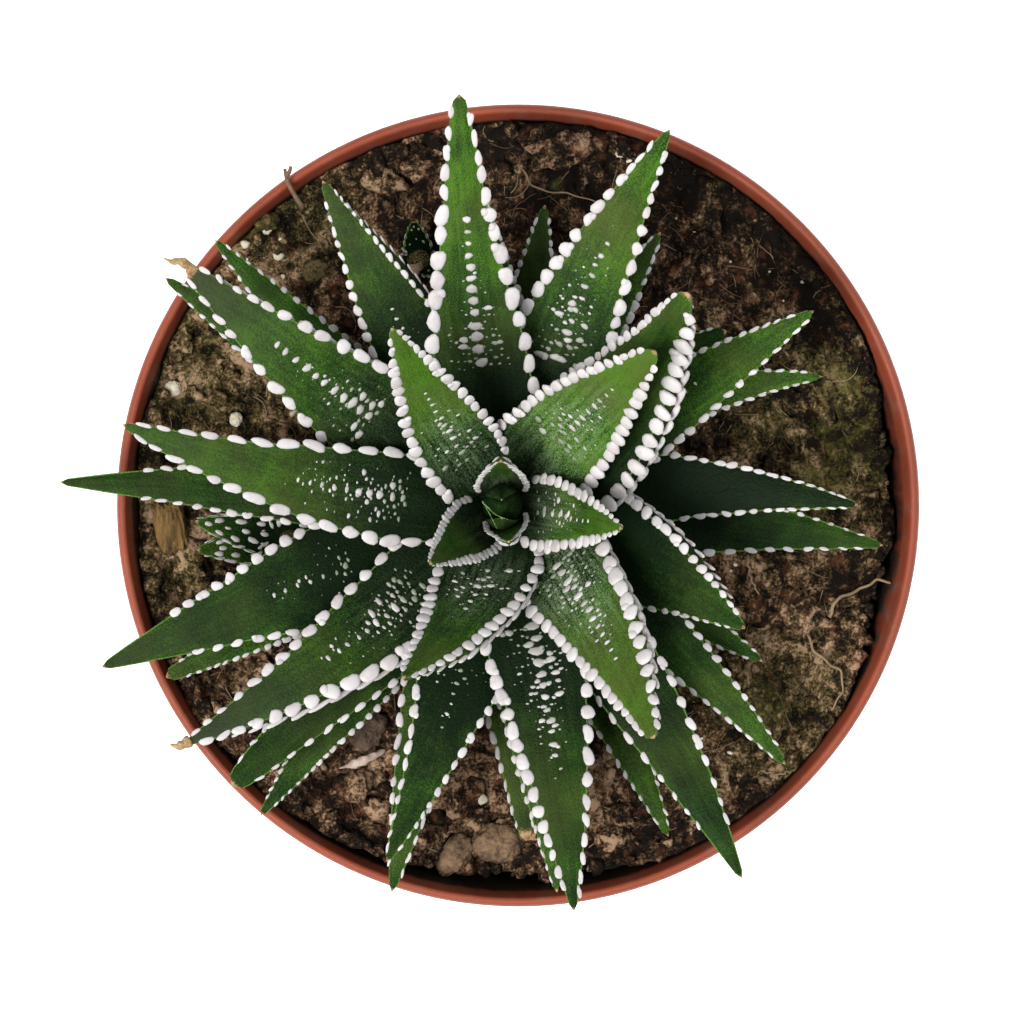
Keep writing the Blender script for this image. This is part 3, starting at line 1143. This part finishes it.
# moss patches: x, y, radius, strength
mossPatches = [
    (42, 12, 9, 0.9), (38, 1, 8, 0.7), (33, 18, 6, 0.5), (-42, 24, 7, 0.7), (-36, 36, 6, 0.8),
    (-29, 21, 6, 0.4), (-27, 42, 6, 0.6), (32, -26, 6, 0.8), (22.8, -24.2, 2.4, 1.0), (36, -36, 5, 0.4),
    (24, 42, 5, 0.4), (40, -20, 5, 0.5), (5.3, 42.1, 1.6, 1.0), (-45, -12, 5, 0.5), (-40, 12, 7, 0.5),
]


def soilHeight(x, y):
    lumps = (0.55 * math.sin(0.31 * x + 1.1) * math.cos(0.27 * y - 0.4)
             + 0.4 * math.sin(0.19 * x - 0.45 * y + 2.2) + 0.25 * math.sin(0.62 * x + 0.51 * y))
    mound = 1.3 * math.exp(-((x - leafForm["x"]) ** 2 + (y - leafForm["y"]) ** 2) / 260)
    rise = 1.8 * math.exp(-((x - 5) ** 2) / 300 - ((y - 47) ** 2) / 90)
    return soilForm["level"] + lumps + mound + rise


def soilRelief(x, y):
    coarse = noise.fractal(Vector((x / 8, y / 8, 3.1)), 0.8, 2.1, 4)
    bend = 0.8 * noise.noise(Vector((x / 3, y / 3, 8.4)))
    clods = noise.voronoi(Vector((x / 3.7 + bend, y / 3.7 - bend, 0.7)))[0][0]
    grains = noise.voronoi(Vector((x / 1.25, y / 1.25 + bend, 5.2)))[0][0]
    fluff = noise.fractal(Vector((x / 1.1, y / 1.1, 6.6)), 0.6, 2.2, 3)
    return 0.8 * coarse + 1.5 * (0.42 - clods) + 0.5 * (0.4 - grains) + 0.2 * fluff


def nearHeading(angle, heading, spread):
    turn = (math.degrees(angle) - heading + 180) % 360 - 180
    return math.exp(-(turn / spread) ** 2)


def crackAt(angle):
    # 1 where the crack along the wall is widest, 0 where the soil touches the wall
    return max(share * nearHeading(angle, heading, spread) for heading, spread, share in soilForm["cracks"])


def soilEdge(angle):
    ragged = noise.noise(Vector((5 * math.cos(angle), 5 * math.sin(angle), 0.3)))
    ragged += 0.7 * noise.noise(Vector((17 * math.cos(angle), 17 * math.sin(angle), 4.3)))
    fine = noise.noise(Vector((48 * math.cos(angle), 48 * math.sin(angle), 9.1)))
    shrunk = soilForm["shrink"] * crackAt(angle) + 0.65 * abs(ragged) + 0.7 * max(0, fine)
    return innerRadius(soilForm["bankTop"]) - soilForm["gap"] - shrunk


def nearSpot(x, y, px, py, radius):
    return math.exp(-((x - px) ** 2 + (y - py) ** 2) / radius ** 2)


def patchAt(patches, x, y):
    return max(strength * nearSpot(x, y, px, py, radius) for px, py, radius, strength in patches)


def clearOfStones(x, y):
    # 0 at a bedded stone, 1 away from all of them
    share = 1
    for _, px, py, size, _, _ in pebbleList:
        share *= 1 - nearSpot(x, y, px, py, 1.2 * size[1] + 1.2)
    return share


def soilBank(x, y):
    angle = math.atan2(y, x)
    uneven = 1 + 0.4 * noise.noise(Vector((4 * math.cos(angle), 4 * math.sin(angle), 7.7)))
    heaped = soilForm["bank"] * uneven * (1 - crackAt(angle))
    heaped = min(heaped, soilForm["bankTop"] - soilHeight(x, y))
    return heaped * clearOfStones(x, y) * float(riseBetween(math.hypot(x, y), soilForm["bankFrom"], 50))


def soilTop(x, y):
    relief = soilRelief(x, y)
    return soilHeight(x, y) + min(relief, relief * clearOfStones(x, y)) + soilBank(x, y)


def soilMaterial(colours):
    material, tree = newMaterial("peatSoil")
    place = objectPlace(tree)
    tone, moss, tint = splitVector(tree, attributeOf(tree, "look"))
    clouds = noiseOf(tree, place, 150, 5, 0.65)
    gaps = noiseOf(tree, place, 380, 2, 0.5, 0.8)
    crumbs = noiseOf(tree, place, 760, 5, 0.7, 0.6)
    fibres = noiseOf(tree, stretched(tree, place, 1.0, 0.3, 1.0), 900, 4, 0.6, 1.2)
    blots = noiseOf(tree, place, 430, 3, 0.6)
    level = varied(tree, tone, (clouds, 0.3, 0.7, -0.28, 0.28), (gaps, 0.32, 0.62, -0.44, 0.18),
                   (crumbs, 0.32, 0.68, -0.34, 0.34), (fibres, 0.4, 0.7, -0.10, 0.20),
                   (noiseOf(tree, place, 2600, 2, 0.6), 0.3, 0.7, -0.3, 0.36))
    brown = rampOf(tree, level, (0.08, colours["black"]), (0.36, colours["dark"]),
                   (0.66, colours["brown"]), (1.0, colours["tan"]))
    rust = blendOf(tree, crumbs, colours["dark"], colours["rust"])
    brown = blendOf(tree, rangeOf(tree, blots, 0.56, 0.70, 0.0, 0.6), brown, rust)
    olive = rampOf(tree, level, (0.1, colours["black"]), (0.62, colours["olive"]), (1.0, colours["tan"]))
    oliveShare = mathOf(tree, "SUBTRACT", mathOf(tree, "ADD", tint, clouds), blots)
    brown = blendOf(tree, rangeOf(tree, oliveShare, 0.0, 0.45, 0.0, 0.7), brown, olive)
    green = blendOf(tree, rangeOf(tree, crumbs, 0.45, 0.7), colours["moss"], colours["mossBright"])
    covered = rangeOf(tree, varied(tree, moss, (clouds, 0.3, 0.7, -0.35, 0.35)), 0.4, 0.8)
    covered = mathOf(tree, "MULTIPLY", covered, rangeOf(tree, crumbs, 0.3, 0.62, 0.15, 0.85))
    return dress(material, {
        "Base Color": blendOf(tree, covered, brown, green),
        "Roughness": 0.95, "Specular IOR Level": 0.2,
        "Normal": bumpsOf(tree, (crumbs, 0.8, 0.0006), (fibres, 0.4, 0.0004))})


peatSoil = soilMaterial(soilColours)

# drier and damper places: x, y, radius, change of tone
soilPatches = [(-38, 26, 13, 0.24), (-44, -5, 8, 0.16), (-25, -32, 12, 0.18), (38, -22, 12, 0.14),
               (0, -42, 11, 0.16), (8, 44, 14, -0.30), (30, 34, 10, -0.16), (44, 10, 9, -0.14),
               (-10, -40, 10, 0.10), (-10, 38, 9, -0.10)]
# places that are more olive than red-brown: x, y, radius, strength
olivePatches = [(-42, 14, 16, 0.8), (-30, 38, 9, 0.6), (40, 8, 14, 0.8), (34, -26, 10, 0.7),
                (-45, -10, 10, 0.6)]


def soilTone(x, y, relief):
    # the raised crumbs are drier and paler
    tone = 0.48 + 0.16 * relief
    for px, py, radius, change in soilPatches:
        tone += change * nearSpot(x, y, px, py, radius)
    angle = math.atan2(y, x)
    damp = max(nearHeading(angle, heading, spread) for heading, spread in soilForm["shades"])
    return tone - 0.34 * damp * float(riseBetween(math.hypot(x, y), 43, 49))


def buildSoil(form):
    angles = roundSteps(form["segments"])
    points, looks = [], []
    for share in np.linspace(0, 1, form["rings"] + 1)[1:] ** 0.72:
        for angle in angles:
            radius = share * soilEdge(angle)
            x = radius * math.cos(angle)
            y = radius * math.sin(angle)
            height = soilTop(x, y) - form["edgeDrop"] * float(riseBetween(share, 0.955, 1.0))
            inward = min(1, (innerRadius(height) - form["gap"]) / radius)
            points.append((x * inward, y * inward, height))
            looks.append((soilTone(x, y, soilRelief(x, y)), patchAt(mossPatches, x, y),
                          patchAt(olivePatches, x, y)))
    for height, inset in form["sides"]:
        radius = innerRadius(height) - inset - 0.2
        points += [(radius * math.cos(angle), radius * math.sin(angle), height) for angle in angles]
        looks += [(0.05, 0, 0)] * len(angles)
    points += [(0, 0, soilTop(0, 0)), (0, 0, height)]
    looks += [(0.3, 0, 0)] * 2
    shape = newShape()
    rows = form["rings"] + len(form["sides"])
    addToShape(shape, np.array(points), tubeFaces(rows, len(angles), True), looks)
    makePiece("peat_soil", shape, [peatSoil], "soil")


buildSoil(soilForm)
print("soil built")

# Crumbs of peat and grit on the soil
crumbForm = {"count": 1000, "atWall": 500, "smallest": 0.25, "largest": 1.15, "seed": 5}


def scatterPlace(rng, nearest, slack=0.7):
    # a random place on the open soil
    while True:
        x, y = rng.uniform(-50, 50, 2)
        radius = math.hypot(x, y)
        if nearest < radius < soilEdge(math.atan2(y, x)) - slack:
            return x, y


def keepInside(points):
    # nothing on the soil reaches into the wall of the pot
    reach = np.hypot(points[:, 0], points[:, 1])
    room = innerRadius(np.minimum(points[:, 2], potForm["height"] - 1)) - 0.1
    inward = np.minimum(1, room / reach)
    return points * np.stack([inward, inward, np.ones(len(points))], 1)


def addLump(shape, form, centre, sizes, turn, tilt, look, rng, wobble):
    unit, faces = form
    phase = rng.uniform(0, 6.28, 3)
    swell = 1 + wobble * np.sin(unit * np.array([2.3, 2.9, 2.6]) + phase).sum(1)
    points = unit * swell[:, None] * np.array(sizes)
    c, s = math.cos(tilt), math.sin(tilt)
    points = points @ np.array([[1, 0, 0], [0, c, s], [0, -s, c]])
    addToShape(shape, keepInside(turned(points, turn) + np.array(centre)), faces, look)


def buildCrumbs(form):
    rng = np.random.default_rng(form["seed"])
    bead = beadForm(7, 3, -math.pi / 2)
    shape = newShape()
    spots = [scatterPlace(rng, 9) for _ in range(form["count"])]
    for angle in rng.uniform(0, 2 * math.pi, form["atWall"]):
        reach = min(soilEdge(angle) + rng.uniform(-1.0, 0.7), innerRadius(soilForm["level"]) - 1.2)
        spots.append((reach * math.cos(angle), reach * math.sin(angle)))
    for x, y in spots:
        size = form["smallest"] + (form["largest"] - form["smallest"]) * rng.uniform() ** 3
        long = size * rng.uniform(1.0, 1.9)
        tone = soilTone(x, y, soilRelief(x, y)) + rng.normal(0.05, 0.18)
        look = (tone, 0.6 * patchAt(mossPatches, x, y), patchAt(olivePatches, x, y))
        addLump(shape, bead, (x, y, soilTop(x, y) + 0.15 * size),
                (size, long, size * rng.uniform(0.5, 0.8)), rng.uniform(0, 6.28), rng.normal(0, 0.4),
                look, rng, 0.26)
    makePiece("peat_crumbs", shape, [peatSoil])


buildCrumbs(crumbForm)
print("crumbs scattered")

# Fibrous clods of peat: place, half sizes, turn, tone and moss of those seen in full
clodForm = {"count": 90, "smallest": 1.0, "largest": 2.6, "seed": 8, "rough": 0.42}
clodList = [
    (-18.3, 43.2, (3.6, 1.9, 1.4), -25, 0.78, 0.0), (-13.0, 44.6, (2.6, 1.6, 1.2), 10, 0.66, 0.0),
    (5.6, 46.4, (4.6, 2.4, 1.5), 15, 0.50, 0.0), (-33.1, 37.2, (1.5, 1.3, 1.1), 0, 0.80, 1.0),
    (-26.9, 31.2, (1.7, 1.5, 1.2), 40, 0.84, 0.9), (-36.5, 19.8, (2.6, 1.3, 1.0), -35, 0.80, 0.2),
    (-43.4, -7.6, (2.4, 3.4, 1.4), 10, 0.66, 0.4), (-13.6, -43.7, (2.4, 2.0, 1.5), 20, 0.60, 0.0),
    (-7.0, -38.4, (2.8, 2.2, 1.4), 60, 0.60, 0.0), (43.6, -20.9, (0.6, 0.5, 0.5), 0, 0.95, 0.0),
    (36.6, -13.6, (3.4, 2.6, 1.5), -30, 0.58, 0.0), (40.2, -17.0, (2.4, 1.9, 1.3), 20, 0.62, 0.0),
    (22.4, -36.0, (3.0, 1.8, 1.2), -20, 0.66, 0.0), (12.6, -44.2, (2.6, 1.8, 1.2), 10, 0.64, 0.0),
    (-21.5, -36.8, (2.6, 2.2, 1.4), 35, 0.58, 0.0),
]


def buildClods(form):
    rng = np.random.default_rng(form["seed"])
    unit, faces = beadForm(20, 9, -math.pi / 2)
    shape = newShape()
    clods = [*clodList]
    for _ in range(form["count"]):
        x, y = scatterPlace(rng, 14, 2.0)
        size = form["smallest"] + (form["largest"] - form["smallest"]) * rng.uniform() ** 1.8
        tone = soilTone(x, y, 0.3) + rng.normal(0.0, 0.09)
        clods.append((x, y, (size * rng.uniform(1.0, 1.6), size, 0.55 * size), rng.uniform(0, 180),
                      tone, 0.5 * patchAt(mossPatches, x, y)))
    for x, y, sizes, turn, tone, moss in clods:
        rough = np.array([noise.fractal(Vector(point) * 1.9 + Vector((x, y, tone)), 0.55, 2.1, 4)
                          for point in unit])
        points = turned(unit * (1 + form["rough"] * rough[:, None]) * np.array(sizes), math.radians(turn))
        points = keepInside(points + np.array([x, y, soilHeight(x, y) + soilBank(x, y) + 0.3]))
        olive = patchAt(olivePatches, x, y)
        addToShape(shape, points, faces, [(tone + 0.3 * rise, moss, olive) for rise in rough])
    makePiece("peat_clods", shape, [peatSoil])


buildClods(clodForm)
print("clods laid")

# Fibres and fine roots on the soil
fibreForm = {"count": 800, "shortest": 1.0, "longest": 5.5, "radius": 0.07, "points": 9,
             "rootPoints": 26, "seed": 21}
fibreColours = {"pale": (0.36, 0.27, 0.16), "red": (0.10, 0.045, 0.022), "roughness": 0.85}
# roots that lie on the surface: points on the soil, then the radius at each end
surfaceRoots = [
    ([(41.1, -14.8), (41.5, -13.2), (42.5, -11.9), (44.4, -11.5), (46.0, -10.6), (47.3, -9.7),
      (49.0, -10.1)], 0.24, 0.17),
    ([(38.2, -17.1), (38.9, -19.1), (40.7, -20.8), (42.2, -21.3), (42.7, -23.5), (42.1, -25.3),
      (40.9, -26.7)], 0.2, 0.10),
    ([(30.2, -7.0), (30.6, -9.4), (31.6, -11.6)], 0.15, 0.08),
    ([(0.6, 44.0), (2.2, 41.6), (5.6, 41.2), (9.0, 40.6), (13.0, 38.4)], 0.15, 0.07),
    ([(-37.0, 29.4), (-34.0, 30.2), (-31.0, 29.6)], 0.2, 0.1),
    ([(32.0, -34.9), (34.1, -35.3), (35.7, -34.8)], 0.14, 0.08),
]
# a dry sprig that hangs over the rim
sprigLines = [[(-28.2, 39.0, 84.6), (-29.4, 40.9, 86.3), (-30.2, 42.4, 86.9), (-30.4, 43.9, 87.1)],
              [(-30.3, 42.9, 86.9), (-29.8, 43.4, 87.2), (-29.6, 44.2, 87.2)]]


def fibreMaterial(colours):
    material, tree = newMaterial("rootFibre")
    tone = splitVector(tree, attributeOf(tree, "look"))[0]
    mottle = noiseOf(tree, objectPlace(tree), 900, 3, 0.6)
    tone = varied(tree, tone, (mottle, 0.3, 0.7, -0.2, 0.2))
    return dress(material, {
        "Base Color": blendOf(tree, tone, colours["red"], colours["pale"]),
        "Roughness": colours["roughness"],
        "Normal": bumpsOf(tree, (mottle, 0.4, 0.0002))})


rootFibre = fibreMaterial(fibreColours)


def layOnSoil(flatLine, radius, spread, lift):
    # a line on the soil, with its heights evened out over a few steps and then raised
    heights = [soilTop(x, y) + 0.5 * radius for x, y in flatLine]
    steps = 2 * spread + 1
    heights = np.convolve(np.pad(heights, spread, "edge"), np.ones(steps) / steps, "valid") + lift
    return np.column_stack([flatLine, heights])


def buildFibres(form):
    rng = np.random.default_rng(form["seed"])
    shape = newShape()
    step = np.arange(form["rootPoints"])
    wave = 0.12 * np.stack([np.sin(step * 1.1), np.cos(step * 0.9)], 1)
    for points, thick, thin in surfaceRoots:
        line = layOnSoil(smoothLine(points, len(step)) + wave, thick, 2, 1.0)
        addTube(shape, line, np.linspace(thick, thin, len(step)), 7, (0.72, 0, 0))
    for corners in sprigLines:
        addTube(shape, smoothLine(corners, 12), np.linspace(0.36, 0.22, 12), 7, (0.3, 0, 0))
    for _ in range(form["count"]):
        x, y = scatterPlace(rng, 12, 2.5)
        heading = rng.uniform(0, 6.28)
        stride = rng.uniform(form["shortest"], form["longest"]) / (form["points"] - 1)
        bend = rng.normal(0, 0.35)
        flat = []
        for _ in range(form["points"]):
            flat.append((x, y))
            heading += bend / 3 + rng.normal(0, 0.12)
            x += stride * math.cos(heading)
            y += stride * math.sin(heading)
        if max(math.hypot(px, py) - soilEdge(math.atan2(py, px)) for px, py in flat) > -0.4:
            continue
        radius = form["radius"] * rng.uniform(0.6, 1.5)
        line = layOnSoil(flat, radius, 1, radius)
        tone = 0.8 * rng.uniform() ** 1.5
        addTube(shape, line, np.linspace(radius, 0.5 * radius, len(flat)), 4, (tone, 0, 0))
    makePiece("root_fibres", shape, [rootFibre])


buildFibres(fibreForm)
print("fibres laid")

# Moss: short leafy points in the damp patches
mossForm = {"count": 3400, "height": 0.75, "width": 0.17, "seed": 31}
mossColours = {"dark": (0.018, 0.024, 0.005), "bright": (0.13, 0.15, 0.03), "yellow": (0.30, 0.27, 0.07)}


def mossMaterial(colours):
    material, tree = newMaterial("mossGreen")
    tone, yellow = splitVector(tree, attributeOf(tree, "look"))[:2]
    mottle = noiseOf(tree, objectPlace(tree), 1400, 3, 0.6)
    green = blendOf(tree, varied(tree, tone, (mottle, 0.3, 0.7, -0.15, 0.15)),
                    colours["dark"], colours["bright"])
    return dress(material, {
        "Base Color": blendOf(tree, yellow, green, colours["yellow"]),
        "Roughness": 0.8, "Specular IOR Level": 0.3})


def buildMoss(form):
    rng = np.random.default_rng(form["seed"])
    strengths = np.array([radius ** 2 * strength for _, _, radius, strength in mossPatches])
    points, faces, looks = [], [], []
    for index in rng.choice(len(mossPatches), form["count"], p=strengths / strengths.sum()):
        px, py, radius, strength = mossPatches[index]
        x, y = np.array([px, py]) + rng.normal(0, 0.62 * radius, 2)
        if math.hypot(x, y) > soilEdge(math.atan2(y, x)) - 0.8:
            continue
        if noise.noise(Vector((x / 1.8, y / 1.8, 2.2))) < -0.05:
            continue
        size = form["height"] * rng.uniform(0.5, 1.3)
        turn = rng.uniform(0, 6.28)
        lean = rng.uniform(0.2, 0.9)
        foot = np.array([x, y, soilTop(x, y) - 0.15])
        faces.append(np.array([(0, 2, 1), (0, 1, 3), (1, 2, 3), (2, 0, 3)]) + len(points))
        for corner in range(3):
            angle = turn + 2.094 * corner   # a third of a turn apart
            points.append(foot + form["width"] * np.array([math.cos(angle), math.sin(angle), 0]))
        points.append(foot + size * np.array([lean * math.cos(turn), lean * math.sin(turn), 1.0]))
        yellow = 0.7 if strength == 1.0 else 0.25 * rng.uniform() ** 3
        tone = rng.uniform(0.1, 0.9)
        looks += [(0.3 * tone, yellow, 0)] * 3 + [(tone, yellow, 0)]
    shape = newShape()
    addToShape(shape, np.array(points), faces, looks)
    makePiece("moss_points", shape, [mossMaterial(mossColours)])


buildMoss(mossForm)
print("moss planted")

# Stones, perlite and bark
pebbleColours = {
    "stone": ((0.036, 0.021, 0.011), (0.25, 0.158, 0.088)),
    "grey": ((0.035, 0.022, 0.015), (0.19, 0.125, 0.085)),
    "perlite": ((0.60, 0.54, 0.40), (0.92, 0.87, 0.72)),
    "bark": ((0.018, 0.009, 0.003), (0.26, 0.15, 0.042)),
}


def pebbleMaterial(name, colours):
    material, tree = newMaterial(name)
    place = objectPlace(tree)
    if name == "barkRough":
        place = stretched(tree, place, 1.0, 0.16, 1.0)
    broad = noiseOf(tree, place, 330, 5, 0.65)
    pores = noiseOf(tree, place, 1700, 4, 0.7, 0.5)
    level = varied(tree, broad, (pores, 0.3, 0.7, -0.16, 0.16))
    return dress(material, {
        "Base Color": rampOf(tree, level, (0.30, colours[0]), (0.68, colours[1])),
        "Roughness": 0.92,
        "Normal": bumpsOf(tree, (pores, 0.5, 0.0003), (broad, 0.7, 0.0005))})


pebbleMaterials = {kind: pebbleMaterial(kind + "Rough", pair) for kind, pair in pebbleColours.items()}


def buildPebble(name, x, y, size, turn, kind):
    bark = kind == "bark"
    unit, faces = beadForm(72, 35, -math.pi / 2, *((2.6, 1.0, 0.7) if bark else ()))
    swell = (0.97 + 0.08 * np.sin(3.1 * unit[:, 0] + x) * np.cos(2.7 * unit[:, 1] + y)
             + 0.05 * np.sin(5 * unit[:, 2] + x))
    grain = Vector((7.0, 0.9, 5.0) if bark else (2.3, 2.3, 2.3))
    for index, spot in enumerate(unit * np.array(grain) + np.array([x, y, 0])):
        swell[index] += 0.13 * noise.fractal(Vector(spot), 0.55, 2.1, 5)
    points = turned(unit * swell[:, None] * np.array(size), math.radians(turn))
    shape = newShape()
    addToShape(shape, points + np.array([x, y, soilHeight(x, y) + 0.3 * size[2]]), faces)
    makePiece(name + "_rough", shape, [pebbleMaterials[kind]], name)


for pebble in pebbleList:
    buildPebble(*pebble)

# Grit: perlite crumbs and pale grains too small to be pieces of their own
gritForm = {"count": 45, "seed": 41}
gritSpots = [
    (-29.6, 12.4, 0.5), (-31.0, 17.6, 0.45), (19.0, -1.5, 0.4), (-32.9, 36.3, 0.7), (-35.9, 34.2, 0.55),
    (41.6, -17.6, 0.45), (-4.6, -38.6, 0.6), (4.2, -33.2, 0.4), (13.6, 46.2, 0.5), (-31.8, 33.0, 0.6),
]


def buildGrit(form):
    rng = np.random.default_rng(form["seed"])
    bead = beadForm(9, 5, -math.pi / 2)
    shape = newShape()
    spots = [*gritSpots]
    for _ in range(form["count"]):
        spots.append((*scatterPlace(rng, 14), rng.uniform(0.12, 0.3)))
    for x, y, size in spots:
        addLump(shape, bead, (x, y, soilTop(x, y) + 0.3 * size), (size, 1.2 * size, 0.8 * size),
                rng.uniform(0, 6.28), 0.2, (0, 0, 0), rng, 0.24)
    makePiece("perlite_grit", shape, [pebbleMaterials["perlite"]])


buildGrit(gritForm)
print("stones and grit bedded")

# The shed leaf tip that lies curled on the soil
shedTip = {
    "points": [(-23.4, -34.6, 0.5), (-20.2, -33.7, 2.6), (-17.6, -32.3, 0.5)],
    "width": 1.7, "thickness": 0.8, "narrowing": 0.62, "rows": 26, "sides": 14,
}
shedColours = {"pale": (0.60, 0.48, 0.41), "dark": (0.26, 0.16, 0.12)}


def shedMaterial(colours):
    material, tree = newMaterial("driedLeaf")
    wrinkles = noiseOf(tree, stretched(tree, objectPlace(tree), 1.0, 0.4, 1.0), 1100, 4, 0.65)
    return dress(material, {
        "Base Color": rampOf(tree, wrinkles, (0.32, colours["dark"]), (0.55, colours["pale"])),
        "Roughness": 0.75,
        "Normal": bumpsOf(tree, (wrinkles, 0.6, 0.0003))})


def buildShedTip(tip):
    corners = [np.array([x, y, soilHeight(x, y) + lift]) for x, y, lift in tip["points"]]
    u = np.linspace(0, 1, tip["rows"])[:, None]
    line = corners[0] * (1 - u) ** 2 + 2 * corners[1] * u * (1 - u) + corners[2] * u ** 2
    along = unitRows(np.gradient(line, axis=0))
    side = unitRows(np.stack([along[:, 1], -along[:, 0], 0 * along[:, 0]], 1))
    up = np.cross(side, along)
    angle = roundSteps(tip["sides"])
    half = tip["width"] / 2 * (1 - tip["narrowing"] * u)
    half = half * np.sqrt(np.clip(1 - np.clip((u - 0.92) / 0.08, 0, 1) ** 2, 0.05, 1))
    half = half * (0.1 + 0.9 * riseBetween(u, -0.02, 0.4))
    crimp = 1 + 0.13 * np.sin(9 * u * 3.1 + 2.2 * angle[None])
    wide = half * np.cos(angle)[None] * crimp
    lift = 0.9 * tip["thickness"] / 2 * np.sin(angle)[None] * crimp
    points = line[:, None] + side[:, None] * wide[..., None] + up[:, None] * lift[..., None]
    points = np.concatenate([points.reshape(-1, 3), line[:1], line[-1:]])
    shape = newShape()
    addToShape(shape, points, tubeFaces(tip["rows"], tip["sides"], True))
    makePiece("shed_leaf_tip_dry", shape, [shedMaterial(shedColours)], "shed_leaf_tip")


buildShedTip(shedTip)
print("shed tip laid")

# The stem and roots stay as the measured solid, with a fleshy brown-green finish
stemColours = {"dark": (0.10, 0.075, 0.03), "pale": (0.34, 0.30, 0.15), "green": (0.012, 0.035, 0.006),
               "greenFrom": 90, "greenAbove": 97}


def stemMaterial(colours):
    material, tree = newMaterial("stemFlesh")
    place = objectPlace(tree)
    rings = noiseOf(tree, stretched(tree, place, 0.4, 0.4, 2.2), 700, 4, 0.6)
    flesh = rampOf(tree, rings, (0.35, colours["dark"]), (0.65, colours["pale"]))
    young = rangeOf(tree, splitVector(tree, place)["Z"], colours["greenFrom"] * mm,
                    colours["greenAbove"] * mm)
    return dress(material, {
        "Base Color": blendOf(tree, young, flesh, colours["green"]), "Roughness": 0.8,
        "Normal": bumpsOf(tree, (rings, 0.5, 0.0004))})


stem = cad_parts["stem_and_roots"]
stem.data.materials.clear()
stem.data.materials.append(stemMaterial(stemColours))

# Floor
floorSetup = {"half": 3.0, "colour": (0.93, 0.93, 0.925), "glow": 0.74}


def makeFloor(setup):
    half = setup["half"]
    mesh = bpy.data.meshes.new("paleFloor")
    corners = [(-half, -half, 0), (half, -half, 0), (half, half, 0), (-half, half, 0)]
    mesh.from_pydata(corners, [], [(0, 1, 2, 3)])
    material, tree = newMaterial("paleFloorPaint")
    speck = noiseOf(tree, objectPlace(tree), 30, 3, 0.5)
    pale = tuple(value * 0.985 for value in setup["colour"])
    mesh.materials.append(dress(material, {
        "Base Color": blendOf(tree, speck, setup["colour"], pale), "Roughness": 0.9,
        "Emission Color": (1, 1, 1), "Emission Strength": setup["glow"]}))
    floor = addObject("paleFloor", mesh)


makeFloor(floorSetup)

print("sizes written")
